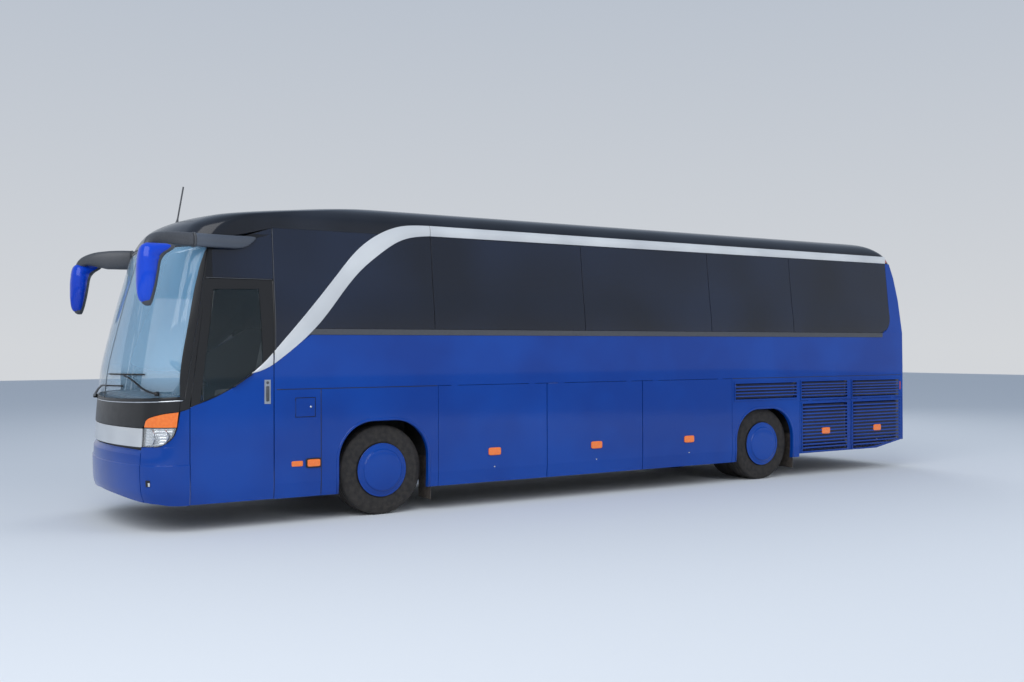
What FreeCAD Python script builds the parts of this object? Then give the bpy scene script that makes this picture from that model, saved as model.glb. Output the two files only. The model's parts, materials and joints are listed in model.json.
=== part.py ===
import FreeCAD, Part
import math
import os
import Sketcher
from FreeCAD import Vector

# High-floor coach bus, millimetres. The origin is on the ground under the middle of the bus.
# +Z is up, the nose faces -Y, the driver's side is +X and the passenger doors are on -X.

doc = FreeCAD.newDocument("coach_bus")
sheet = doc.addObject("Spreadsheet::Sheet", "sizes")

# Driving sizes. Each row is an alias and its value, grouped by the thing that it sizes.
SIZES = (
    # Whole bus
    ("body_long", 12200), ("body_wide", 2550), ("roof_high", 3570), ("sill_high", 287),
    ("tuck_high", 450), ("belt_high", 2130), ("cant_high", 3225),
    ("front_overhang", 2840), ("wheelbase", 6080),
    # How the shell narrows, leans and rounds
    ("sill_tuck", 12), ("side_lean", 109), ("nose_rake", 585), ("tail_rake", 230),
    ("nose_crown", 3200), ("tail_crown", 9000), ("nose_corner", 420), ("tail_corner", 250),
    ("roof_flat", 400), ("dome_run", 2615), ("tail_run", 970),
    # Shell thicknesses and running gaps
    ("wall_thick", 50), ("glass_thick", 10), ("panel_gap", 8), ("flap_gap", 5.2),
    ("seat_gap", 0.3), ("overrun", 40), ("band_thick", 6),
    # Hinge lugs: how long and deep, and how far in from the flap's ends
    ("lug_long", 90), ("lug_deep", 30), ("lug_in", 180), ("door_lug_low", 900),
    ("door_lug_high", 1160),
    # Doors, measured ahead of the front axle
    ("door_front", 2220), ("door_rear", 1320), ("door_top", 2650), ("door_knee", 1300),
    ("door_lean", 180), ("door_frame", 75), ("door_glass_low", 1350), ("mid_door_start", 3880),
    ("mid_door_wide", 760), ("mid_door_top", 2060), ("door_swing", 520), ("mid_swing", 450),
    ("arm_radius", 16), ("pin_radius", 10), ("pin_play", 0.05), ("arm_low", 600),
    ("arm_rise", 620), ("post_radius", 22), ("door_edge", 90), ("door_lead", 10),
    # Seams behind the front axle, and the long waist seam
    ("waist_seam", 1470), ("bay_one", 700), ("bay_two", 2257), ("bay_three", 3800),
    ("bay_end", 5430), ("service_one", 6790), ("service_two", 7900), ("service_end", 9120),
    ("service_low", 330), ("service_top", 1115), ("tail_sweep", 110),
    # Window dividers behind the front axle, and the rear end of the glass
    ("divider_front", -1300), ("divider_one", 660), ("divider_two", 2860),
    ("divider_three", 5050), ("divider_four", 6680), ("glass_end", 8860), ("glass_corner", 250),
    ("glass_top", 3215), ("pane_gap", 8), ("pillar_wide", 70),
    # Silver band: its straight part over the windows, and the sweep down to the door
    ("band_low", 3238), ("band_high", 3350), ("band_sweep_start", 654), ("band_tip", 1556),
    # Wheel openings
    ("arch_half", 563), ("arch_top", 1085), ("arch_rear_top", 1020), ("arch_round", 430),
    ("housing_half", 615), ("housing_inner", 560), ("sheet_thick", 12),
    # Wheels and axles
    ("tyre_radius", 515), ("tyre_wide", 290), ("tyre_shoulder", 40), ("rim_radius", 286),
    ("rim_wide", 250), ("rim_wall", 22), ("wheel_track", 2110), ("twin_pitch", 330),
    ("cap_radius", 306), ("cap_disc", 240), ("cap_rise", 40), ("hub_radius", 110),
    ("stub_radius", 60), ("bearing_play", 0.06), ("kingpin_offset", 75), ("kingpin_radius", 32),
    ("kingpin_long", 300), ("beam_wide", 100), ("beam_deep", 110), ("beam_drop", 95),
    ("housing_tube", 95), ("diff_radius", 210), ("spring_radius", 120),
    ("rear_spring_radius", 72),
    # Chassis and floors
    ("rail_centre", 480), ("rail_wide", 80), ("rail_deep", 150), ("rail_low", 640),
    ("floor_high", 1370), ("floor_thick", 80), ("cab_floor", 950), ("cab_floor_ahead", 900),
    ("bay_floor_high", 360), ("bay_floor_thick", 45), ("bulkhead_thick", 30),
    ("step_rise", 285), ("step_run", 300), ("tread_run", 225), ("aisle_half", 250),
    # Engine
    ("engine_long", 1400), ("engine_wide", 760), ("engine_tall", 900), ("engine_low", 380),
    ("engine_behind", 1250),
    # Nose and lamps
    ("bumper_top", 830), ("screen_low", 1372), ("screen_top", 2985), ("screen_rebate", 45),
    ("screen_foot", 2284), ("screen_head", 2013), ("lamp_low", 880), ("lamp_mid", 1080),
    ("lamp_top", 1190), ("lamp_deep", 60), ("lamp_inner", 740), ("bumper_arch", 110),
    # Tail
    ("tail_glass_half", 900), ("tail_glass_low", 2230), ("tail_glass_top", 3000),
    ("lid_half", 930), ("lid_low", 560), ("lid_top", 1700), ("tail_lamp_low", 760),
    ("tail_lamp_high", 1380), ("tail_lamp_wide", 110),
    # Mirrors
    ("mirror_out", 1600), ("mirror_ahead", 2750), ("mirror_low", 2336), ("mirror_high", 2956),
    ("mirror_wide", 260), ("mirror_deep", 150), ("arm_tube", 38), ("arm_high", 3040),
    ("arm_root_ahead", 1640),
    # Seats and cabin
    ("seat_pitch", 820), ("seat_rows", 11), ("seat_first", -420), ("seat_wide", 900),
    ("seat_deep", 450), ("cushion_low", 320), ("cushion_thick", 130), ("seat_tall", 1120),
    ("back_thick", 110), ("leg_thick", 40), ("seat_aisle", 285), ("seat_split", 26),
    ("rack_low", 2780),
    ("rack_deep", 330), ("rack_thick", 30), ("rack_lip", 120),
    ("driver_across", 700), ("driver_ahead", 1500), ("driver_wide", 480), ("driver_low", 380),
    ("dash_ahead", 2250), ("dash_deep", 330), ("dash_low", 1020), ("dash_high", 1420),
    ("dash_half", 1050), ("wheel_ahead", 2060), ("wheel_ring", 230), ("wheel_tube", 14),
    ("wheel_high", 1640), ("wheel_tilt", 35), ("column_radius", 35), ("column_clear", 360),
    # Small outside pieces
    ("flap_near", 847), ("flap_far", 1067), ("flap_low", 1165), ("flap_top", 1366),
    ("marker_long", 165), ("marker_tall", 85), ("marker_thick", 14), ("marker_centre", 655),
    ("mud_thick", 12), ("mud_low", 130), ("aerial_radius", 9),
    ("aerial_tall", 450), ("aerial_lean", 10), ("aerial_ahead", 2000),
    ("wiper_radius", 13), ("wiper_long", 800), ("wiper_lift", 130), ("wiper_near", 900),
    ("wiper_far", -60), ("grille_low", 1130), ("grille_high", 1400), ("grille_edge", 45),
    ("slot_pitch", 50), ("slot_tall", 26), ("slot_deep", 30), ("lid_slots_low", 700),
    # Towing sockets
    ("tow_bore", 22), ("tow_boss", 45), ("tow_long", 130), ("tow_across", 980),
    ("tow_high", 520), ("tow_window", 70), ("nose_beam_in", 390), ("engine_mount", 70),
)

for row, (alias, value) in enumerate(SIZES, start=1):
    sheet.set("A%d" % row, alias.replace("_", " "))
    sheet.set("B%d" % row, str(value))
    sheet.setAlias("B%d" % row, alias)
doc.recompute()


class SheetReader:
    """Reads a size from the sheet by its alias, as s.wheelbase."""

    def __getattr__(self, alias):
        return float(sheet.get(alias))


s = SheetReader()

# Places that several pieces share, worked out from the driving sizes
nose_y = -s.body_long / 2
tail_y = s.body_long / 2
half_wide = s.body_wide / 2
front_axle_y = nose_y + s.front_overhang
rear_axle_y = front_axle_y + s.wheelbase
cant_half = half_wide - s.side_lean
inner_half = half_wide - s.wall_thick
wheel_x = s.wheel_track / 2

# The same places as text for the expressions
FRONT_AXLE = "(sizes.front_overhang - sizes.body_long / 2)"
REAR_AXLE = "(sizes.front_overhang + sizes.wheelbase - sizes.body_long / 2)"
HALF = "(sizes.body_wide / 2)"
INNER = "(sizes.body_wide / 2 - sizes.wall_thick)"

nodes = []


def keep(item, label):
    """Gives a finished sub-part its label and puts it on the list of nodes."""
    item.Label = label
    nodes.append(item)
    return item


def feature(label, shape):
    """A sub-part whose surface is worked out here rather than by primitives."""
    item = doc.addObject("Part::Feature", label)
    item.Shape = shape
    item.Placement = FreeCAD.Placement()
    return keep(item, label)


def behind(distance):
    """A place along the bus, from its distance behind the front axle."""
    return front_axle_y + distance


# Outlines with rounded corners, and prisms made from them


def tangent_corner(before, corner, after, radius):
    """The two tangent points and the middle of the arc that rounds one corner."""
    to_before = (before - corner).normalize()
    to_after = (after - corner).normalize()
    half_angle = to_before.getAngle(to_after) / 2
    reach = radius / math.tan(half_angle)
    centre = corner + (to_before + to_after).normalize() * (radius / math.sin(half_angle))
    middle = centre + (corner - centre).normalize() * radius
    return corner + to_before * reach, middle, corner + to_after * reach


def outline(points):
    """A closed wire through points (u, v) or (u, v, corner radius), in the XY plane."""
    spots = [Vector(point[0], point[1], 0) for point in points]
    radii = [point[2] if len(point) > 2 else 0 for point in points]
    edges = []
    starts = []
    ends = []
    for index, spot in enumerate(spots):
        if radii[index]:
            first, middle, last = tangent_corner(
                spots[index - 1], spot, spots[(index + 1) % len(spots)], radii[index])
            starts.append(first)
            ends.append(last)
            edges.append(Part.Arc(first, middle, last).toShape())
        else:
            starts.append(spot)
            ends.append(spot)
            edges.append(None)
    loop = []
    for index in range(len(spots)):
        if edges[index] is not None:
            loop.append(edges[index])
        following = starts[(index + 1) % len(spots)]
        if (following - ends[index]).Length > 0:
            loop.append(Part.makeLine(ends[index], following))
    return Part.Wire(loop)


# Each axis has the turn that carries a drawn outline (u, v) to its plane
TURNS = {
    "x": FreeCAD.Rotation(Vector(0, 1, 0), Vector(0, 0, 1), Vector(1, 0, 0), "XYZ"),
    "y": FreeCAD.Rotation(Vector(1, 0, 0), Vector(0, 0, 1), Vector(0, -1, 0), "XYZ"),
    "z": FreeCAD.Rotation(),
}
STEPS = {"x": Vector(1, 0, 0), "y": Vector(0, 1, 0), "z": Vector(0, 0, 1)}


def prism(points, axis, low, high):
    """A prism along one axis: (y, z) outlines run along x, (x, z) along y, (x, y) along z."""
    face = Part.Face(outline(points))
    face.Placement = FreeCAD.Placement(STEPS[axis] * low, TURNS[axis])
    return face.extrude(STEPS[axis] * (high - low))


def brick(x_span, y_span, z_span):
    """A plain block between three pairs of limits."""
    return Part.makeBox(x_span[1] - x_span[0], y_span[1] - y_span[0], z_span[1] - z_span[0],
                        Vector(x_span[0], y_span[0], z_span[0]))


def mirrored(shape):
    """The same shape on the other side of the bus."""
    return shape.mirror(Vector(0, 0, 0), Vector(1, 0, 0))


def pair(shape):
    """A shape and its twin on the other side, as one compound."""
    return Part.makeCompound([shape, mirrored(shape)])


# The shell is a stack of plan outlines. Each row gives, as shares: the rise within its zone,
# the lean inwards, the setback of the nose and of the tail, the corner radius, and how far
# the inner skin's outline drops instead of shrinking.
sill_level_shares = (
    (0.0, 1.0, 0.10, 0.15, 1.0), (1.0, 0.0, 0.015, 0.0, 1.0),
)
flank_level_shares = (
    (0.15, 0.0, 0.0, 1.0), (0.27, 0.02, 0.0, 1.0), (0.42, 0.05, 0.0, 1.0),
    (0.55, 0.082, 0.0, 1.0), (0.685, 0.12, 0.01, 0.98), (1.0, 0.316, 0.13, 0.9),
)
glass_level_shares = (
    (0.475, 0.557, 0.383, 0.81), (0.795, 0.744, 0.70, 0.78), (1.0, 1.0, 1.0, 0.81),
)
roof_level_shares = (
    (0.217, 0.010, 0.044, 0.052, 0.86, 0.10), (0.406, 0.027, 0.115, 0.113, 0.95, 0.25),
    (0.565, 0.073, 0.25, 0.175, 1.1, 0.5), (0.710, 0.145, 0.419, 0.258, 1.2, 0.7),
    (0.826, 0.249, 0.556, 0.361, 1.2, 0.85), (0.913, 0.413, 0.694, 0.505, 1.1, 1.0),
    (0.971, 0.674, 0.847, 0.742, 0.9, 1.0), (1.0, 1.0, 1.0, 1.0, 0.7, 1.0),
)


def level_rows():
    """Rows of height, half width, nose, tail, corner scale and drop, from sill to roof."""
    rows = []
    for rise, tuck, nose, tail, corner in sill_level_shares:
        rows.append((s.sill_high + rise * (s.tuck_high - s.sill_high),
                     half_wide - tuck * s.sill_tuck,
                     nose_y + nose * s.nose_rake, tail_y - tail * s.tail_rake, corner, 0.0))
    for rise, nose, tail, corner in flank_level_shares:
        rows.append((s.tuck_high + rise * (s.belt_high - s.tuck_high), half_wide,
                     nose_y + nose * s.nose_rake, tail_y - tail * s.tail_rake, corner, 0.0))
    for rise, nose, tail, corner in glass_level_shares:
        rows.append((s.belt_high + rise * (s.cant_high - s.belt_high),
                     half_wide - rise * s.side_lean,
                     nose_y + nose * s.nose_rake, tail_y - tail * s.tail_rake, corner, 0.0))
    cant_nose = nose_y + s.nose_rake
    cant_tail = tail_y - s.tail_rake
    for rise, lean, nose, tail, corner, drop in roof_level_shares:
        rows.append((s.cant_high + rise * (s.roof_high - s.cant_high),
                     cant_half - lean * (cant_half - s.roof_flat),
                     cant_nose + nose * s.dome_run, cant_tail - tail * s.tail_run,
                     corner, drop))
    return rows


LEVELS = level_rows()


def plan_ring(height, half, nose, tail, front_round, rear_round, front_crown, rear_crown):
    """Plan outline at one height: bowed nose and tail, straight sides, four corner arcs."""
    front_centre = Vector(0, nose + front_crown, height)
    rear_centre = Vector(0, tail - rear_crown, height)
    front_y = front_centre.y - math.sqrt((front_crown - front_round) ** 2
                                         - (half - front_round) ** 2)
    rear_y = rear_centre.y + math.sqrt((rear_crown - rear_round) ** 2
                                       - (half - rear_round) ** 2)
    side = Vector(1, 0, 0)
    right_half = []
    for centre, crown, radius, y in ((front_centre, front_crown, front_round, front_y),
                                     (rear_centre, rear_crown, rear_round, rear_y)):
        corner = Vector(half - radius, y, height)
        outwards = (corner - centre).normalize()
        meeting = centre + outwards * crown
        middle = corner + (outwards + side).normalize() * radius
        right_half.append((meeting, middle, corner + side * radius))
    (front_meet, front_mid, front_side), (rear_meet, rear_mid, rear_side) = right_half

    def flip(point):
        return Vector(-point.x, point.y, point.z)

    edges = [
        Part.Arc(flip(front_meet), Vector(0, nose, height), front_meet).toShape(),
        Part.Arc(front_meet, front_mid, front_side).toShape(),
        Part.makeLine(front_side, rear_side),
        Part.Arc(rear_side, rear_mid, rear_meet).toShape(),
        Part.Arc(rear_meet, Vector(0, tail, height), flip(rear_meet)).toShape(),
        Part.Arc(flip(rear_meet), flip(rear_mid), flip(rear_side)).toShape(),
        Part.makeLine(flip(rear_side), flip(front_side)),
        Part.Arc(flip(front_side), flip(front_mid), flip(front_meet)).toShape(),
    ]
    return Part.Wire(edges)


def hull(inset, low, high):
    """The solid inside the shell's skin, moved inwards by inset, from one height to another."""
    rings = []
    rows = [row for row in LEVELS if low <= row[0] <= high]
    if inset:
        first = rows[0]
        rows = [(first[0] - s.overrun,) + first[1:]] + rows
    for height, half, nose, tail, corner, drop in rows:
        inwards = inset * (1 - drop)
        rings.append(plan_ring(height - inset * drop, half - inwards, nose + inset,
                               tail - inset, corner * s.nose_corner - inwards,
                               corner * s.tail_corner - inwards,
                               s.nose_crown - inset, s.tail_crown - inset))
    return Part.makeLoft(rings, True, True)


def ring_at(height):
    """Half width, nose and tail of the shell at any height, between its plan outlines."""
    for below, above in zip(LEVELS, LEVELS[1:]):
        if below[0] <= height <= above[0]:
            share = (height - below[0]) / (above[0] - below[0])
            return [low + share * (high - low) for low, high in zip(below[1:4], above[1:4])]
    return list(LEVELS[-1][1:4])


def nose_height(y):
    """Height of the dome's middle line at a place along the bus."""
    for below, above in zip(LEVELS, LEVELS[1:]):
        if below[0] >= s.cant_high and below[2] <= y <= above[2]:
            return below[0] + (y - below[2]) / (above[2] - below[2]) * (above[0] - below[0])
    return s.roof_high


def nose_at(across_x, height):
    """How far forward the nose stands at a distance from the middle and a height."""
    for below, above in zip(LEVELS, LEVELS[1:]):
        if below[0] <= height <= above[0]:
            share = (height - below[0]) / (above[0] - below[0])
            half, nose, _, corner = [low + share * (high - low)
                                     for low, high in zip(below[1:5], above[1:5])]
    radius = corner * s.nose_corner
    reach = s.nose_crown - radius
    centre_y = nose + s.nose_crown - math.sqrt(reach ** 2 - (half - radius) ** 2)
    meeting_x = (half - radius) * s.nose_crown / reach
    if abs(across_x) <= meeting_x:
        return nose + s.nose_crown - math.sqrt(s.nose_crown ** 2 - across_x ** 2)
    return centre_y - math.sqrt(max(radius ** 2 - (abs(across_x) - half + radius) ** 2, 0))


lower_hull = hull(0, s.sill_high, s.cant_high)
lower_void = hull(s.wall_thick, s.sill_high, s.cant_high)
glass_void = hull(s.glass_thick, s.sill_high, s.cant_high)
rebate_void = hull(s.glass_thick + s.seat_gap, s.sill_high, s.cant_high)
lower_skin = lower_hull.cut(lower_void)
glass_skin = lower_hull.cut(glass_void)
rebate_skin = hull(-s.overrun, s.sill_high, s.cant_high).cut(rebate_void)


def side_sheet(outside, inside, front, rear):
    """The flat flank between two depths behind its outer face, leaning above the belt."""
    return prism([
        (half_wide - s.sill_tuck - outside, s.sill_high), (half_wide - outside, s.tuck_high),
        (half_wide - outside, s.belt_high), (cant_half - outside, s.cant_high),
        (cant_half - inside, s.cant_high), (half_wide - inside, s.belt_high),
        (half_wide - inside, s.tuck_high), (half_wide - s.sill_tuck - inside, s.sill_high),
    ], "y", front, rear)


def flank_cut(points):
    """A side-view outline as a prism through the whole +X flank."""
    return prism(points, "x", cant_half - s.wall_thick * 2, half_wide + s.overrun)


# Where the flank meets the nose: the door's front edge, the screen pillar and the dome
door_front_y = behind(-s.door_front)
door_rear_y = behind(-s.door_rear)
door_head_y = door_front_y + s.door_lean
pillar_set_share, tail_set_share = 5, 4
nose_edge = [
    (door_front_y - s.panel_gap, s.sill_high), (door_front_y - s.panel_gap, s.door_knee),
    (door_head_y - s.panel_gap, s.door_top),
    (door_head_y + s.panel_gap * pillar_set_share, s.screen_top), (behind(s.divider_front), s.cant_high),
]
tail_edge = [(tail - corner * s.tail_corner + s.panel_gap * tail_set_share, height)
             for height, half, nose, tail, corner, drop in LEVELS if height <= s.cant_high]


def nose_zone(low, high):
    """Everything ahead of the doors and the screen pillars."""
    ahead = nose_y - s.overrun
    points = [(ahead, s.cant_high)] + list(reversed(nose_edge)) + [(ahead, s.sill_high)]
    zone = prism(points, "x", -s.body_wide, s.body_wide)
    return zone.common(brick((-s.body_wide, s.body_wide), (nose_y * 2, 0), (low, high)))


# Panels


def door_outline(grow):
    """Side view of a cab door, made larger all round by grow."""
    return [
        (door_front_y - grow, s.sill_high - grow), (door_rear_y + grow, s.sill_high - grow),
        (door_rear_y + grow, s.door_top + grow), (door_head_y - grow, s.door_top + grow),
        (door_front_y - grow, s.door_knee),
    ]


# How far the door's glass stands in, in frame widths: front foot, rear edge and head; then
# where its lower edge turns up, and how round that knee is
glass_foot_share, glass_rear_share, glass_head_share = 1.25, 2, 1.3
knee_along_share, knee_rise_share, knee_round_share = 0.35, 0.2, 3


def door_glass_outline(grow):
    """Side view of the glass in a cab door: its lower edge rises to the rear."""
    low_y = door_front_y + s.door_frame * glass_foot_share
    head_y = door_head_y + s.door_frame
    rear_y = door_rear_y - s.door_frame * glass_rear_share
    top = s.door_top - s.door_frame * glass_head_share
    knee_round = s.door_frame * knee_round_share
    return [
        (low_y - grow, s.door_glass_low - grow),
        (low_y + knee_along_share * (rear_y - low_y) + grow,
         s.door_glass_low + knee_rise_share * (s.waist_seam - s.door_glass_low) - grow,
         knee_round),
        (rear_y + grow, s.waist_seam + knee_round - grow, s.door_frame),
        (rear_y + grow, top + grow, s.door_frame / 2),
        (head_y - grow, top + grow, s.door_frame / 2),
    ]


def bay_outline(start, end, low, high, gap):
    """A rectangle in side view between two seams, less the gap on every side."""
    return [(behind(start) + gap, low), (behind(end) - gap, low),
            (behind(end) - gap, high - gap), (behind(start) + gap, high - gap)]


def arch_outline(axle_y, top):
    """A wheel opening with a flat head and large corner arcs."""
    low = s.sill_high - s.overrun
    return [(axle_y - s.arch_half, low), (axle_y + s.arch_half, low),
            (axle_y + s.arch_half, top, s.arch_round), (axle_y - s.arch_half, top, s.arch_round)]


def tail_flap_outline(gap):
    """The rearmost service flap, whose lower edge rises to the tail."""
    front_y = behind(s.service_two) + gap
    rear_y = behind(s.service_end) - gap
    return [(front_y, s.service_low + gap), ((front_y + rear_y) / 2, s.service_low + gap),
            (rear_y, s.service_low + s.tail_sweep + gap), (rear_y, s.service_top - gap),
            (front_y, s.service_top - gap)]


def service_outline(gap):
    """The service flap behind the rear wheel."""
    return [(behind(s.service_one) + gap, s.service_low + gap),
            (behind(s.service_two) - gap, s.service_low + gap),
            (behind(s.service_two) - gap, s.service_top - gap),
            (behind(s.service_one) + gap, s.service_top - gap)]


foot_run_share = 1 / 3
dividers = [s.divider_front, s.divider_one, s.divider_two, s.divider_three, s.divider_four,
            s.glass_end]


def swept_foot(y):
    """Height of the glass's lower edge, which falls forwards to the tip of the band."""
    start = behind(s.divider_front)
    end = behind(s.divider_front + s.band_tip * foot_run_share)
    share = min(max((y - start) / (end - start), 0), 1)
    foot = s.waist_seam + (s.belt_high - s.waist_seam) / 2
    return foot + share * (s.belt_high - foot)


def pane_outline(index, shrink):
    """Side view of one side pane, from divider index to the next."""
    front_y = behind(dividers[index]) + s.pane_gap / 2 + shrink
    rear_y = behind(dividers[index + 1]) - s.pane_gap / 2 - shrink
    low = s.belt_high + shrink
    high = s.glass_top - shrink
    if index == 0:
        knee_y = behind(s.divider_front + s.band_tip * foot_run_share) + shrink
        return [(front_y, swept_foot(front_y) + shrink), (knee_y, low), (rear_y, low),
                (rear_y, high), (front_y, high)]
    if index == len(dividers) - 2:
        return [(front_y, low), (rear_y, low, s.glass_corner), (rear_y, high), (front_y, high)]
    return [(front_y, low), (rear_y, low), (rear_y, high), (front_y, high)]


def quarter_outline(shrink):
    """The fixed light over a cab door, under the slope of the dome."""
    rear_y = behind(s.divider_front) - s.pane_gap / 2 - shrink
    front_y = door_head_y + s.door_frame + shrink
    low = s.door_top + s.panel_gap * 2 + shrink
    slope = (s.cant_high - s.screen_top) / (rear_y - front_y)
    high = s.screen_top - s.door_frame / 2 - shrink
    return [(front_y, low), (rear_y, low),
            (rear_y, high + slope * (rear_y - front_y) - s.door_frame / 2), (front_y, high)]


pane_count = len(dividers) - 1


def flank(openings):
    """One side wall on +X, with its glazing rebate, pillars and the openings asked for."""
    wall = side_sheet(0, s.wall_thick, nose_y, tail_y)
    zone = prism(list(nose_edge) + list(reversed(tail_edge)), "x", 0, s.body_wide)
    wall = wall.common(zone)
    cuts = [flank_cut(arch_outline(front_axle_y, s.arch_top)),
            flank_cut(arch_outline(rear_axle_y, s.arch_rear_top))]
    cuts += [flank_cut(points) for points in openings]
    rebate = side_sheet(-s.overrun, s.glass_thick + s.seat_gap, nose_y, tail_y)
    for index in range(pane_count):
        cuts.append(rebate.common(flank_cut(pane_outline(index, -s.pane_gap))))
        cuts.append(flank_cut(pane_outline(index, s.pillar_wide / 2)))
    cuts.append(rebate.common(flank_cut(quarter_outline(-s.pane_gap / 2))))
    cuts.append(flank_cut(quarter_outline(s.pillar_wide / 2)))
    return wall.cut(cuts)


def hinge_lugs(start, end, seam):
    """Two lugs that fill the gap over a flap, a seat's clearance above its hinge line."""
    lugs = []
    for y in (behind(start) + s.lug_in, behind(end) - s.lug_in - s.lug_long):
        lugs.append(brick((half_wide - s.lug_deep, half_wide), (y, y + s.lug_long),
                          (seam - s.flap_gap + s.seat_gap, seam)))
    return lugs


def louvres(start, end, low, high, gap):
    """Slots with sloping floors over a grille area on the +X flank."""
    slots = []
    count = int((high - low) / s.slot_pitch)
    for number in range(count):
        foot = low + (number + 0.5) * (high - low) / count - s.slot_tall / 2
        outer = half_wide + s.overrun
        inner = half_wide - s.slot_deep
        slots.append(prism([(inner, foot + s.slot_tall / 2), (inner, foot + s.slot_tall),
                            (outer, foot + s.slot_tall), (outer, foot)],
                           "y", behind(start) + gap, behind(end) - gap))
    return slots


bay_seams = [s.bay_one, s.bay_two, s.bay_three, s.bay_end]
fuel_outline = [(behind(-s.flap_far), s.flap_low), (behind(-s.flap_near), s.flap_low),
                (behind(-s.flap_near), s.flap_top), (behind(-s.flap_far), s.flap_top)]


def grown(points, grow):
    """A rectangle's outline made larger on every side."""
    us = [point[0] for point in points]
    vs = [point[1] for point in points]
    return [(min(us) - grow, min(vs) - grow), (max(us) + grow, min(vs) - grow),
            (max(us) + grow, max(vs) + grow), (min(us) - grow, max(vs) + grow)]


tail_cut_share = 1.2
door_cut = door_outline(s.panel_gap)
bay_cut = bay_outline(s.bay_one, s.bay_end, s.sill_high - s.overrun, s.waist_seam, 0)
service_cut = service_outline(0)
tail_flap_cut = tail_flap_outline(0)
tail_cut_high = s.service_low + s.tail_sweep * tail_cut_share
under_tail = [(behind(s.service_one), s.sill_high - s.overrun),
              (tail_y, s.sill_high - s.overrun), (tail_y, tail_cut_high),
              (behind(s.service_end), s.service_low + s.tail_sweep),
              ((behind(s.service_two) + behind(s.service_end)) / 2, s.service_low),
              (behind(s.service_one), s.service_low)]
grille_spans = ((s.bay_end + s.grille_edge, s.service_one - s.grille_edge),
                (s.service_one + s.grille_edge, s.service_two - s.grille_edge),
                (s.service_two + s.grille_edge, s.service_end - s.grille_edge))

left_wall = flank([door_cut, bay_cut, service_cut, tail_flap_cut, under_tail,
                   grown(fuel_outline, s.panel_gap)])
fixed_slots = []
for start, end in grille_spans:
    fixed_slots += louvres(start, end, s.grille_low, s.grille_high, 0)
left_wall = left_wall.cut(fixed_slots)
service_lugs = (hinge_lugs(s.service_one, s.service_two, s.service_top)
                + hinge_lugs(s.service_two, s.service_end, s.service_top))
bay_lugs = [hinge_lugs(start, end, s.waist_seam)
            for start, end in zip(bay_seams, bay_seams[1:])]
fuel_lug = brick((half_wide - s.lug_deep / 2, half_wide),
                 (behind(-s.flap_far) - s.panel_gap, behind(-s.flap_far) - s.seat_gap),
                 (s.flap_low + s.lug_deep, s.flap_top - s.lug_deep))
left_wall = left_wall.fuse(service_lugs + bay_lugs[0] + bay_lugs[1] + bay_lugs[2] + [fuel_lug])
feature("side_wall_left", left_wall)

mid_front_y = behind(s.mid_door_start)
mid_rear_y = mid_front_y + s.mid_door_wide


def mid_door_outline(grow):
    """Side view of the second passenger door, between the axles."""
    return [(mid_front_y - grow, s.sill_high - grow), (mid_rear_y + grow, s.sill_high - grow),
            (mid_rear_y + grow, s.mid_door_top + grow), (mid_front_y - grow, s.mid_door_top + grow)]


right_bay_cut = bay_outline(s.bay_one, s.bay_three, s.sill_high - s.overrun, s.waist_seam, 0)
right_wall = flank([door_outline(s.door_lead), right_bay_cut, mid_door_outline(s.door_lead),
                    service_cut, tail_flap_cut, under_tail])
# The wall parts at its panel joints: round the head of the front door, across the pillar and
# the cant rail behind it, and at both ends of the strip over the second door
door_head = s.door_top + s.door_lead
strip_low = s.mid_door_top + s.door_lead
panel_joints = [brick((0, s.body_wide), (behind(s.divider_front) - s.pillar_wide,
                                         behind(s.divider_front) + s.pillar_wide),
                      (door_head - s.seat_gap, door_head))]
rail_joint_y = behind(s.divider_front) + s.pillar_wide
panel_joints += [brick((0, s.body_wide), (rail_joint_y, rail_joint_y + s.seat_gap),
                       (s.glass_top - s.pillar_wide, s.cant_high + s.overrun))]
panel_joints += [brick((0, s.body_wide), (edge_y, edge_y + s.seat_gap),
                       (strip_low - s.seat_gap, s.cant_high - s.side_lean))
                 for edge_y in (mid_front_y - s.door_lead - s.seat_gap, mid_rear_y + s.door_lead)]
right_wall = right_wall.cut(fixed_slots + panel_joints)
right_wall = mirrored(right_wall.fuse(service_lugs + bay_lugs[0] + bay_lugs[1]))
feature("side_wall_right", right_wall)

# Roof: the same stack of outlines above the cant rail
roof_outer = hull(0, s.cant_high, s.roof_high)
roof_inner = hull(s.wall_thick, s.cant_high, s.roof_high)
feature("roof_shell", roof_outer.cut(roof_inner))

# Nose: frame round the screen, the bumper under it, lamps at the corners


def screen_prism(shrink):
    """The wrapped windscreen's outline in side view, right across the bus."""
    front_y = nose_y - s.overrun
    return prism([(front_y, s.screen_low + shrink),
                  (behind(-s.screen_foot) - shrink, s.screen_low + shrink),
                  (behind(-s.screen_head) - shrink, s.screen_top - shrink),
                  (front_y, s.screen_top - shrink)], "x", -s.body_wide, s.body_wide)


def lamp_prism(low, high, grow):
    """The wrapped corner behind one lamp, seen from the front."""
    return prism([(s.lamp_inner - grow, low - grow), (half_wide, low - grow),
                  (half_wide, high + grow), (s.lamp_inner + s.lamp_deep - grow, high + grow)],
                 "y", nose_y - s.overrun, behind(-s.screen_foot) - s.lamp_deep + grow)


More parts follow.
